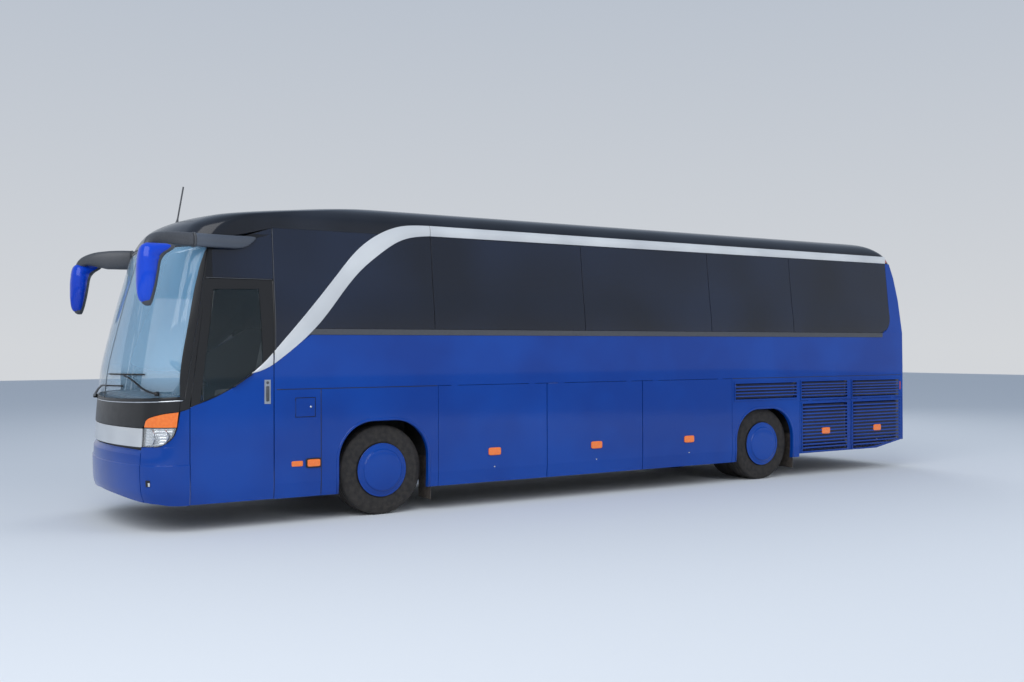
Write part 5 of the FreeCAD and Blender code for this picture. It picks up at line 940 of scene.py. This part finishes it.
upright = patch(-0.775 - LINE, -0.775 + LINE, 0.291, WAIST - LINE, 3, 20, PROUD)
fuel_outer = loop_of([(-1.072, 1.160), (-0.842, 1.160)], (-0.842, 1.371), (-1.072, 1.371),
                     count=10)
fuel_inner = loop_of([(-1.068, 1.164), (-0.846, 1.164)], (-0.846, 1.367), (-1.068, 1.367),
                     count=10)
solid("panel_joints", [seam_line(-1.285, 0.690), seam_line(5.440, 9.10), *pair(upright),
                       mirrored(seam_line(-1.285, 0.690)), mirrored(seam_line(3.810, 3.865)),
                       mirrored(seam_line(4.655, 9.10)),
                       frame_ring(fuel_outer, fuel_inner, 3, 0.001)],
      black_trim, thick=0.002)
solid("door_jamb_strips", pair(patch(-1.319, -1.292, 1.84, 2.654, 3, 20, 0.0008)), black_trim,
      thick=0.003)
# Thin grey strips along the door light's top and beside the first pane: partly a real edge
# seal, partly a painted highlight where the edge catches light.
solid("glass_edge_mouldings", pair(patch(-2.045, -1.318, 2.654, 2.661, 16, 3, 0.002),
                                   patch(-1.3005, -1.2935, 1.90, 3.215, 3, 40, 0.0015)),
      grey_plastic, thick=0.003)
print("joints done")

# %% [markdown]
# A silver bow sweeps up from the driver's door and runs back along the cant rail. It is a
# ribbon between two smooth edges, and its face is crowned, so a line of light runs along it.

# %% Silver bow and corner lamps
bow_upper = [(-1.312, 1.883), (-0.949, 2.288), (-0.552, 2.741), (-0.279, 3.041), (0, 3.232),
             (0.287, 3.334), (0.470, 3.354), (0.654, 3.360)]
bow_lower = [(-1.312, 1.746), (-1.079, 1.921), (-0.871, 2.104), (-0.552, 2.468),
             (-0.280, 2.776), (0, 3.002), (0.287, 3.170), (0.470, 3.216), (0.654, 3.234)]


def band(lower, upper, columns, rows):
    """A ribbon between two smooth edges that stands 5 mm proud at them and 12 mm in its
    middle: a half wave of the sine across."""
    return ruled(spline(lower, columns), spline(upper, columns), rows,
                 lambda share: 0.005 + 0.007 * np.sin(math.pi * share))


def tail_lens(left, right, low, high, count, out):
    """A lens that wraps the tail's corner."""
    return patch(left, right, low, high, count, count, out, wrap_tail)[:, ::-1]


rail = band([(0.660, 3.234), (8.864, 3.231)], [(0.660, 3.360), (8.864, 3.340)], 120, 9)
solid("silver_bows", pair(band(bow_lower, bow_upper, 90, 9), rail), silver_paint,
      thick=0.010, bevel=0.003, replaces="side_bands")
solid("corner_marker_lamps", pair(tail_lens(0.912, 0.992, 1.235, 1.365, 10, 0.004))
      + pair(tail_lens(0.945, 1.020, 3.245, 3.325, 8, 0.005)), lens_red,
      thick=0.008, bevel=0.002)
tip = band([(-1.560, 1.646), (-1.440, 1.682), (-1.328, 1.738)],
           [(-1.560, 1.650), (-1.450, 1.741), (-1.328, 1.866)], 24, 7)
solid("silver_bow_tip", tip, silver_paint, body="driver_door", thick=0.010,
      bevel=0.002)
print("bow done")

# %% [markdown]
# The driver's door is a blue pressing under a black window frame. The blue ends in a sweeping
# line that the silver bow takes up. The pull handle is a tube carried along a short path.

# %% Driver's door
door_sweep = curve((0.0, 1.300), (0.105, 1.344), (0.452, 1.472), (0.733, 1.640),
                   (0.87, 1.690), (1.0, 1.738))
solid("driver_door_skin", patch(-2.220, -1.320, 0.289, door_sweep, 40, 34), blue_paint,
      body="driver_door", thick=0.040, bevel=0.004, replaces="driver_door")
light_front = line((1.347, -2.125), (2.540, -1.967))
light_rear = line((1.753, -1.435), (2.553, -1.471))
light_foot = curve((0.0, 1.350), (0.452, 1.477), (0.825, 1.648), (1.0, 1.753))
solid("driver_door_light", patch(light_front, light_rear, light_foot,
                                 lambda u: 2.540 + 0.013 * u, 24, 30, -0.004),
      door_glass, body="driver_door", thick=0.005,
      replaces="driver_door_glass")
inner = loop_of([(-2.120, 1.352), (-1.813, 1.479), (-1.556, 1.650), (-1.437, 1.753)],
                (-1.471, 2.550), (-1.967, 2.538))
outer = loop_of([(-2.218, 1.306), (-1.813, 1.475), (-1.560, 1.644), (-1.322, 1.742)],
                (-1.322, 2.648), (-2.050, 2.648))
solid("driver_door_frame", frame_ring(outer, inner), black_trim,
      body="driver_door", thick=0.032, bevel=0.003)


# %% Its handle
def sweep(path, wide, deep, side=(0, 0, 1), count=20, square=1.0):
    """A closed tube along a row of points. wide and deep are half sizes, one or per point,
    and side is roughly the way that the depth points. The section is an oval whose cosine and
    sine are raised to a power: below 1 it grows square."""
    path = np.asarray(path, float)
    ahead = np.gradient(path, axis=0)
    ahead /= np.linalg.norm(ahead, axis=1, keepdims=True)
    over = np.cross(ahead, np.asarray(side, float))
    over /= np.linalg.norm(over, axis=1, keepdims=True)
    up = np.cross(over, ahead)
    angle = around_once(count)[..., None]
    c, s = np.cos(angle), -np.sin(angle)
    c, s = np.sign(c) * np.abs(c) ** square, np.sign(s) * np.abs(s) ** square
    wide = (np.asarray(wide, float) + 0 * path[:, 0])[:, None, None]
    deep = (np.asarray(deep, float) + 0 * path[:, 0])[:, None, None]
    ring = path[:, None] + wide * over[:, None] * c + deep * up[:, None] * s
    return capped(ring, path[0], path[-1])


def plumb_line(x, y, low, high, count):
    """A straight row of points upwards."""
    z = np.linspace(low, high, count)
    return np.stack([0 * z + x, 0 * z + y, z], -1)


HANDLE_Y = FRONT_AXLE - 1.39
grip = sweep(plumb_line(1.281, HANDLE_Y, 1.345, 1.505, 14), 0.016,
             np.sin(np.linspace(0.25, math.pi - 0.25, 14)) * 0.014, (1, 0, 0), 14, 0.7)
lock = lathe([(0.0, 0), (0.0, 0.014), (0.006, 0.013), (0.006, 0)], (1.279, HANDLE_Y, 1.545),
             28)
solid("driver_door_handle_plate", patch(-1.425, -1.355, 1.315, 1.575, 8, 16, 0.003),
      plate_grey, body="driver_door", thick=0.003, bevel=0.001)
solid("driver_door_handle", [grip, lock], grey_plastic, body="driver_door")
print("driver's door done")

# %% [markdown]
# Wheels. A coach tyre is a squat torus with five ribs and a rib-and-groove sidewall; its wheel
# is hidden by a pressed, painted cap with a rolled lip, a domed ring and a flat raised disc.

# %% Tyres
TYRE_R, TRACK, TWIN = 0.515, 1.055, 0.330
side_profile = [(0.118, 0.2885), (0.128, 0.300), (0.137, 0.318), (0.1415, 0.330),
                (0.1400, 0.336), (0.1440, 0.352), (0.1450, 0.385), (0.1445, 0.410),
                (0.1425, 0.432), (0.1440, 0.437), (0.1405, 0.452), (0.1340, 0.475),
                (0.1300, 0.492), (0.1220, 0.505), (0.1090, 0.512)]
# Four grooves 12 mm deep, and a tread that is crowned by 3 mm from its middle to its shoulder
groove = [(place + offset, TYRE_R - (0.012 if abs(offset) < 0.005 else 0.0))
          for place in (0.084, 0.030, -0.030, -0.084)
          for offset in (0.0065, 0.0045, -0.0045, -0.0065)]
tread_row = [(x, r - 0.003 * (abs(x) / 0.109) ** 2) for x, r in groove]
section = (side_profile + tread_row + [(-x, r) for x, r in side_profile[::-1]]
           + [(0.0, 0.2875)])[::-1]
CAP = [(0.120, 0), (0.120, 0.250), (0.140, 0.285), (0.1475, 0.3055), (0.1520, 0.3070),
       (0.1560, 0.3050), (0.1570, 0.3000), (0.1540, 0.2930), (0.1535, 0.2880),
       (0.1590, 0.2790), (0.1650, 0.2660), (0.1690, 0.2530), (0.1715, 0.2430),
       (0.1760, 0.2405), (0.1830, 0.2370), (0.1860, 0.2310), (0.1870, 0.2200),
       (0.1885, 0.1600), (0.1895, 0.0800), (0.1900, 0)]


def carrier_of(node):
    """The name of the body that carries a CAD node."""
    return body_of(frame["nodes"][node])[0]


def sipes(along, radius, angle):
    """Shallow slots across the shoulder ribs, forty-eight to a turn."""
    near = (np.abs(along) > 0.088) & (radius > TYRE_R - 0.009)
    return -0.004 * near * (np.sin(48 * angle) > 0.80)


for side, word in ((1, "left"), (-1, "right")):
    for axle, steered in ((FRONT_AXLE, True), (FRONT_AXLE + WHEELBASE, False)):
        place = (TRACK, axle, TYRE_R)
        shifts = (0.0,) if steered else (0.0, -TWIN)
        back = shifts[-1]
        tyres = [lathe([(x + shift, r) for x, r in section], place, 240, loop=True,
                       ripple=lambda a, r, w, shift=shift: sipes(a - shift, r, w))
                 for shift in shifts]
        barrel = lathe([(0.125, 0.262), (back - 0.125, 0.262), (back - 0.125, 0.2860),
                        (0.125, 0.2860)], place, loop=True)
        disc = lathe([(back - 0.02, 0), (back - 0.02, 0.10), (back + 0.02, 0.262),
                      (back + 0.04, 0.262), (0.08, 0.10), (0.09, 0)], place, 64)
        cap = lathe(CAP, place, 128)
        if side < 0:
            *tyres, barrel, disc, cap = map(mirrored, (*tyres, barrel, disc, cap))
        node = ("tyre_front_" if steered else "tyres_rear_") + word
        rim = ("rim_front_" if steered else "rims_rear_") + word
        carrier = carrier_of(rim)
        solid(node.replace("tyre", "rubber_tyre"), tyres, rubber, carrier,
              replaces=node)
        solid("wheel_" + rim, [barrel, disc], steel, carrier, replaces=rim)
        solid("cap_" + rim, cap, blue_paint, carrier)
print("wheels done")

# %% [markdown]
# Mirrors hang ahead of the bus on horn-shaped arms. Each arm starts in a pointed fairing over
# the cab door, passes a joint ring and curves out and down into the head. An arm could be a
# curve with a round bevel, but the real one is an oval that swells and tapers, so it is a tube
# with its own half sizes at each point. The kerb side's horn is deeper in its middle.

# %% Mirror arms
horn_path = spline([(1.196, FRONT_AXLE - 1.495, 3.102), (1.206, FRONT_AXLE - 1.62, 3.056),
                    (1.226, FRONT_AXLE - 1.80, 3.042), (1.256, FRONT_AXLE - 2.10, 3.042),
                    (1.318, FRONT_AXLE - 2.36, 3.040),
                    (1.420, FRONT_AXLE - 2.56, 3.028), (1.520, FRONT_AXLE - 2.68, 2.990),
                    (1.585, FRONT_AXLE - 2.735, 2.925), (1.605, FRONT_AXLE - 2.745, 2.860)], 72)
share = shares(72)
thick_v = np.interp(share, [0, 0.03, 0.07, 0.11, 0.16, 0.57, 0.76, 0.90, 1.0],
                    [0.010, 0.032, 0.054, 0.066, 0.070, 0.072, 0.064, 0.052, 0.034])
thick_h = np.interp(share, [0, 0.05, 0.11, 0.20, 0.57, 0.76, 0.90, 1.0],
                    [0.010, 0.022, 0.032, 0.040, 0.046, 0.046, 0.042, 0.030])
cut = int(np.argmin(np.abs(horn_path[:, 1] - FRONT_AXLE + 2.20)))
fairing = sweep(horn_path[:cut], thick_h[:cut], thick_v[:cut], count=32, square=0.75)
horn = sweep(horn_path[cut:], thick_h[cut:], thick_v[cut:], count=32, square=0.8)
ring = sweep(horn_path[cut - 1:cut + 1], 0.051, 0.079, count=32, square=0.75)
deeper = np.interp(share, [0, 0.48, 0.68, 0.87, 1.0], [0.0, 0.045, 0.045, 0.006, 0.0])
kerb_path = horn_path - deeper[:, None] * [0, 0, 0.9]
kerb_horn = sweep(kerb_path[cut:], thick_h[cut:] * 1.2, (thick_v + deeper)[cut:], count=32,
                  square=0.8)
solid("mirror_fairings", pair(fairing), fairing_paint, replaces="mirror_arms")
solid("mirror_horns", [horn, mirrored(kerb_horn)], grey_plastic)
solid("mirror_joint_rings", pair(ring), grey_plastic)
print("mirror arms done")

# %% Mirror heads
# Height, reach ahead, reach to the rear, half width
HEAD = np.array([
    (2.336, 0.045, 0.016, 0.022), (2.350, 0.070, 0.024, 0.042), (2.385, 0.090, 0.038, 0.062),
    (2.45, 0.103, 0.056, 0.084), (2.55, 0.109, 0.078, 0.108), (2.68, 0.109, 0.100, 0.122),
    (2.78, 0.102, 0.118, 0.122), (2.85, 0.094, 0.165, 0.116), (2.90, 0.080, 0.235, 0.100),
    (2.935, 0.056, 0.262, 0.070), (2.956, 0.02, 0.22, 0.03)]).T
TOE, TOP, HEAD_X, HEAD_Y, WIDEST = HEAD[0, 0], HEAD[0, -1], 1.600, FRONT_AXLE - 2.735, 0.122


def boot(inset, rear_by, foot):
    """A mirror head: stacked ovals from toe to top, the top ones drawn out to the rear as a
    wing. inset shrinks each oval's width and front, rear_by lengthens its rear half, and foot
    is the height of the toe."""
    level_z = np.linspace(TOE, TOP, 40)
    front, tail, wide = (glide(HEAD[0], row, level_z)[:, None] for row in HEAD[1:])
    angle = around_once(40)
    s, c = np.sin(angle), np.cos(angle)
    lobe = np.sign(c) * np.abs(c) ** 0.85
    wing = (s > 0) & (level_z[:, None] > 2.8)
    x = HEAD_X + wide * (1 - inset / WIDEST) * lobe * np.where(wing, 1 - 0.35 * s, 1.0)
    y = HEAD_Y + np.where(s > 0, np.maximum(tail + rear_by, 0.004), front - inset) * s
    height = foot + (level_z - TOE) * (TOP - foot) / (TOP - TOE)
    form = np.stack([x, y, height[:, None] + 0 * angle], -1)
    return capped(form, form[0].mean(0) - [0, 0, 0.001], form[-1].mean(0) + [0, 0, 0.001])


solid("mirror_shells", pair(boot(0.0, -0.012, 2.362)), mirror_paint,
      replaces="mirror_heads")
solid("mirror_rims", pair(boot(0.024, 0.010, 2.336)), grey_plastic)
print("mirrors done")

# %% [markdown]
# Wipers lie low on the screen, each a cranked arm that carries a long rubber blade. A straight
# rod would sink into the curved glass, so a few drawn points are laid on the screen's own skin
# and a thin tube runs along them, a little off the glass.

# %% Wipers
def nose_t(x, z):
    """The wrap coordinate of a place x across the nose: arc length to it on the bow, or on
    the bend where it lies beyond the bow's end."""
    half, _, radius, crown, _, angle = corner_of(z)
    bow, bend = crown * angle, radius * (math.pi / 2 - angle)
    on_bow = np.arcsin(np.clip(np.abs(x) / crown, 0, 1)) * crown
    turn = np.arcsin(np.clip((np.abs(x) - half + radius) / radius, -1, 1))
    run = np.where(on_bow < bow, on_bow, bow + radius * (turn - angle))
    return np.sign(x) * run / (bow + bend)


def on_screen(points, off, count=24):
    """A smooth row of points that lie off the screen by a small distance."""
    row = spline(points, count)
    return wrap(nose_t(row[:, 0], row[:, 1]), row[:, 1], off)


wiper_parts, blades = [], []
for arm_row, blade_row in ((((1.147, 1.448), (1.0, 1.50), (0.793, 1.587), (0.60, 1.632)),
                            ((0.155, 1.638), (0.60, 1.641), (0.993, 1.645))),
                           (((-0.680, 1.370), (-0.40, 1.42), (-0.064, 1.500), (0.20, 1.512)),
                            ((-0.145, 1.507), (0.20, 1.512), (0.590, 1.518)))):
    arm_row = on_screen(arm_row, 0.030)
    wiper_parts.append(sweep(arm_row, np.linspace(0.016, 0.008, 24),
                             np.linspace(0.010, 0.006, 24), count=10, square=0.6))
    blades.append(sweep(on_screen(blade_row, 0.020), 0.007, 0.005, count=8))
    blades.append(sweep(on_screen(blade_row, 0.009), 0.003, 0.008, count=8))
    wiper_parts.append(turned_ahead([(-0.03, 0), (-0.03, 0.024), (0.012, 0.022),
                                     (0.016, 0.016), (0.016, 0)], arm_row[0], 32))
solid("wiper_arms", wiper_parts, black_trim, replaces="wipers")
solid("wiper_blades", blades, rubber)
print("wipers done")

# %% [markdown]
# Louvres cool the engine bay. Each is an opening in a thin frame with blue slats that
# shed water outwards; the lower ones ride the service flaps. Painted stripes would look flat
# from near by, so each slat is a strip with a bowed face over a navy plate of painted shade.

# %% Louvres
EDGE, BEND_AT = 0.022, 0.35  # the frame's width, and where a lifted foot starts to rise


def louvre(front, rear, low, high, count, lift=0.0):
    """Plate of painted shade, slats and frame of one louvre, as three lists of forms. lift
    raises the lower rear corner along a parabola."""
    def foot(u):
        return low + lift * np.clip((u - BEND_AT) / (1 - BEND_AT), 0, 1) ** 2

    def outline(grow):
        """The opening's edge, grown outwards."""
        bend = [(front + BEND_AT * (rear - front), low - grow)] if lift else []
        return loop_of([(front - grow, low - grow), *bend, (rear + grow, low + lift - grow)],
                       (rear + grow, high + grow), (front - grow, high + grow), count=10)

    pitch = (high - low) / count
    slats = []
    for z in low + np.arange(1, count) * pitch:
        # A slat beside the risen foot stops where it meets the foot
        end = rear if z > low + lift + 0.02 else front + (rear - front) * (
            BEND_AT + (1 - BEND_AT) * math.sqrt(max(z - low - 0.012, 0) / lift))
        slats.append(patch(front, end, z - pitch * 0.21, z + pitch * 0.21, 10, 5,
                           lambda h, z=z: 0.006 + 0.006 * np.cos((h - z) / pitch * 3.0)))
    return ([patch(front, rear, foot, high, 14, 4, 0.004)], slats,
            [frame_ring(outline(EDGE), outline(0), 3, 0.008)])


for name, flap, numbers in (
        ("flap_louvre_1", "service_flap_%s_1", (6.845, 7.822, 0.365, 1.070, 14)),
        ("flap_louvre_2", "service_flap_%s_2", (7.957, 9.030, 0.360, 1.070, 14, 0.10))):
    parts = louvre(*numbers)
    for side in ("left", "right"):
        if side == "right":
            parts = [[mirrored(form) for form in part] for part in parts]
        body = carrier_of(flap % side)
        # The plate is painted shade in the opening behind the slats.
        solid("%s_%s_plate" % (name, side), parts[0], louvre_shade, body,
              thick=0.001)
        solid("%s_%s_slats" % (name, side), parts[1] + parts[2], blue_paint, body,
              thick=0.003, bevel=0.001)
upper = [[], [], []]
for numbers in ((5.490, 6.725, 1.168, 1.393, 5), (6.825, 7.827, 1.150, 1.400, 6),
                (7.945, 9.035, 1.148, 1.397, 6)):
    for store, part in zip(upper, louvre(*numbers)):
        store += pair(*part)
# The upper plates are painted shade in the openings behind the slats.
solid("upper_louvre_plates", upper[0], louvre_shade, thick=0.001)
solid("upper_louvre_slats", upper[1] + upper[2], blue_paint, thick=0.003,
      bevel=0.001)
print("louvres done")

# %% [markdown]
# Small outside pieces: side markers on every flap, the reflector ahead of the front wheel, lock
# studs, and the rolled lip round each wheel opening. A moulded marker has no flat face or sharp
# corner, so it is a sphere whose corners are filled out, as a seat cushion is later.

# %% Markers and locks
def pillow(size, at, lean=0.0, boxy=0.35, rows=14, count=28):
    """A crowned, closed cushion: half sizes, centre, and a lean about the X axis. It is a
    sphere whose cosines and sines are raised to a power below 1, which fills its corners."""
    rise = np.linspace(-math.pi / 2, math.pi / 2, rows + 2)[:, None]
    angle = around_once(count)

    def power(value):
        return np.sign(value) * np.abs(value) ** boxy

    form = np.stack([power(np.cos(rise)) * power(np.cos(angle)),
                     power(np.cos(rise)) * power(np.sin(angle)),
                     power(np.sin(rise)) + 0 * angle], -1) * np.asarray(size, float)
    turn = np.array([[1, 0, 0], [0, math.cos(lean), -math.sin(lean)],
                     [0, math.sin(lean), math.cos(lean)]])
    form = form @ turn.T + np.asarray(at, float)
    return capped(form[1:-1], form[0, 0], form[-1, 0])


HALF_WIDE = 1.275  # of the body, at the flaps
MARKERS = 0.653  # the height of the lamps ahead of the front wheel


def lens_at(place, height, half_long, half_tall, proud):
    """A small rounded lens that stands on the flank."""
    return pillow((proud, half_long, half_tall),
                  (HALF_WIDE + 0.2 * proud, FRONT_AXLE + place, height), boxy=0.3, rows=8,
                  count=24)


def stud_at(place, height, long, radius, count):
    """The round head of a lock, with a slight taper."""
    return lathe([(0, 0), (0, radius), (long, radius - 0.001), (long, 0)],
                 (HALF_WIDE + 0.0005, FRONT_AXLE + place, height), count)


for node, place in (("luggage_flap_left_1", 1.4785), ("luggage_flap_left_2", 3.0285),
                    ("luggage_flap_left_3", 4.615), ("service_flap_left_1", 7.345),
                    ("service_flap_left_2", 8.510), ("luggage_flap_right_1", 1.4785),
                    ("luggage_flap_right_2", 3.0285), ("service_flap_right_1", 7.345),
                    ("service_flap_right_2", 8.510)):
    lens = lens_at(place, 0.655, 0.087, 0.047, 0.0155)
    stud = stud_at(place, 0.47, 0.004, 0.010, 20)
    if "right" in node:
        lens, stud = mirrored(lens), mirrored(stud)
    solid("marker_" + node, lens, amber, carrier_of(node))
    solid("stud_" + node, stud, chrome, carrier_of(node))
solid("front_marker_bezels", pair(lens_at(-0.865, MARKERS, 0.092, 0.054, 0.009)), black_trim)
solid("front_side_markers", pair(lens_at(-0.865, MARKERS, 0.076, 0.040, 0.016),
                                 lens_at(-1.055, MARKERS, 0.065, 0.030, 0.006)), amber)
solid("fuel_flap_lock", stud_at(-0.895, 1.27, 0.005, 0.012, 24), chrome,
      carrier_of("fuel_flap"))
print("markers done")


# %% Arch lips
def arch_row(axle, top, grow, count=16):
    """The arch's outline from its front foot over the top to its rear foot: two upright feet
    and two quarter circles."""
    half, turn = 0.563 + grow, 0.43 + grow
    angle = np.linspace(0, math.pi / 2, count)
    first = np.stack([axle - half + turn - turn * np.cos(angle),
                      top + grow - turn + turn * np.sin(angle)], -1)
    second = first[::-1] * [-1, 1] + [2 * axle, 0]
    return np.concatenate([[(axle - half, 0.289), (axle - half, 0.45)], first, second,
                           [(axle + half, 0.45), (axle + half, 0.289)]])


lips = [ruled(arch_row(axle, top, -0.002), arch_row(axle, top, 0.030), 9,
              lambda share: 0.001 + 0.008 * np.sin(math.pi * share))
        for axle, top in ((0.0, 1.085), (WHEELBASE, 1.020))]
solid("arch_lips", pair(*lips), blue_paint, thick=0.004)
print("small pieces done")

# %% [markdown]
# Inside. Seats show through the glass as rows of rounded backs; the cab has a soft dash.
# Behind dark glass a simulated cushion would look no different, so each pad is a crowned
# closed form, on a pedestal that is a short upright tube.

# %% Seats
SEAT_ROWS, SEAT_PITCH, SEAT_FIRST, SEAT_X = 11, 0.82, -0.42, (0.5035, 0.9665)
FLOOR, CAB_FLOOR, LOW, CAB_LOW = 1.37, 0.95, 0.32, 0.38  # heights of floors and of seats
MID_DOOR, MID_DOOR_WIDE = 3.88, 0.76


def seat_at(x, y, floor, low, half_wide):
    """Cushion, back and head roll of one seat that faces the nose, its front edge near y. low
    is the height of the cushion's underside over the floor."""
    return [pillow((half_wide, 0.235, 0.068), (x, y + 0.225, floor + low + 0.062)),
            pillow((half_wide - 0.01, 0.055, 0.31), (x, y + 0.545, floor + low + 0.43),
                   lean=-0.2),
            pillow((half_wide - 0.05, 0.050, 0.075), (x, y + 0.622, floor + low + 0.735),
                   lean=-0.2, rows=8, count=20)]


def leg_at(x, y, floor, low, half_wide=0.02, half_deep=0.16):
    """A pedestal under a seat."""
    return sweep(plumb_line(x, y, floor + 0.001, floor + low + 0.01, 6), half_wide, half_deep,
                 (0, 1, 0), 16, 0.3)


seat_forms, leg_forms = [], []
for row in range(SEAT_ROWS):
    place = SEAT_FIRST + row * SEAT_PITCH
    for side in (1, -1):
        if side < 0 and MID_DOOR - SEAT_PITCH < place < MID_DOOR + MID_DOOR_WIDE:
            continue  # the stairs of the middle door
        for x in SEAT_X:
            seat_forms += seat_at(side * x, FRONT_AXLE + place, FLOOR, LOW, 0.218)
            leg_forms.append(leg_at(side * x, FRONT_AXLE + place + 0.28, FLOOR, LOW))
cushions = solid("passenger_cushions", seat_forms, fabric,
                 replaces=("seat_cushions", "seat_backs"))
solid("passenger_seat_legs", leg_forms, steel, replaces="seat_legs")
CAB_X, driver_y = 0.70, FRONT_AXLE - 1.5 - 0.225
driver = solid("driver_cushions", seat_at(CAB_X, driver_y, CAB_FLOOR, CAB_LOW, 0.236),
               seat_grey, replaces="driver_seat")
solid("driver_pedestal", leg_at(CAB_X, driver_y + 0.24, CAB_FLOOR, CAB_LOW, 0.15, 0.19), steel)
solid("dash_top", pillow((1.04, 0.175, 0.20), (0, FRONT_AXLE - 2.41, 1.222), boxy=0.25, rows=20,
                         count=60), grey_plastic, replaces="dashboard")
print(len(leg_forms), "passenger seats")
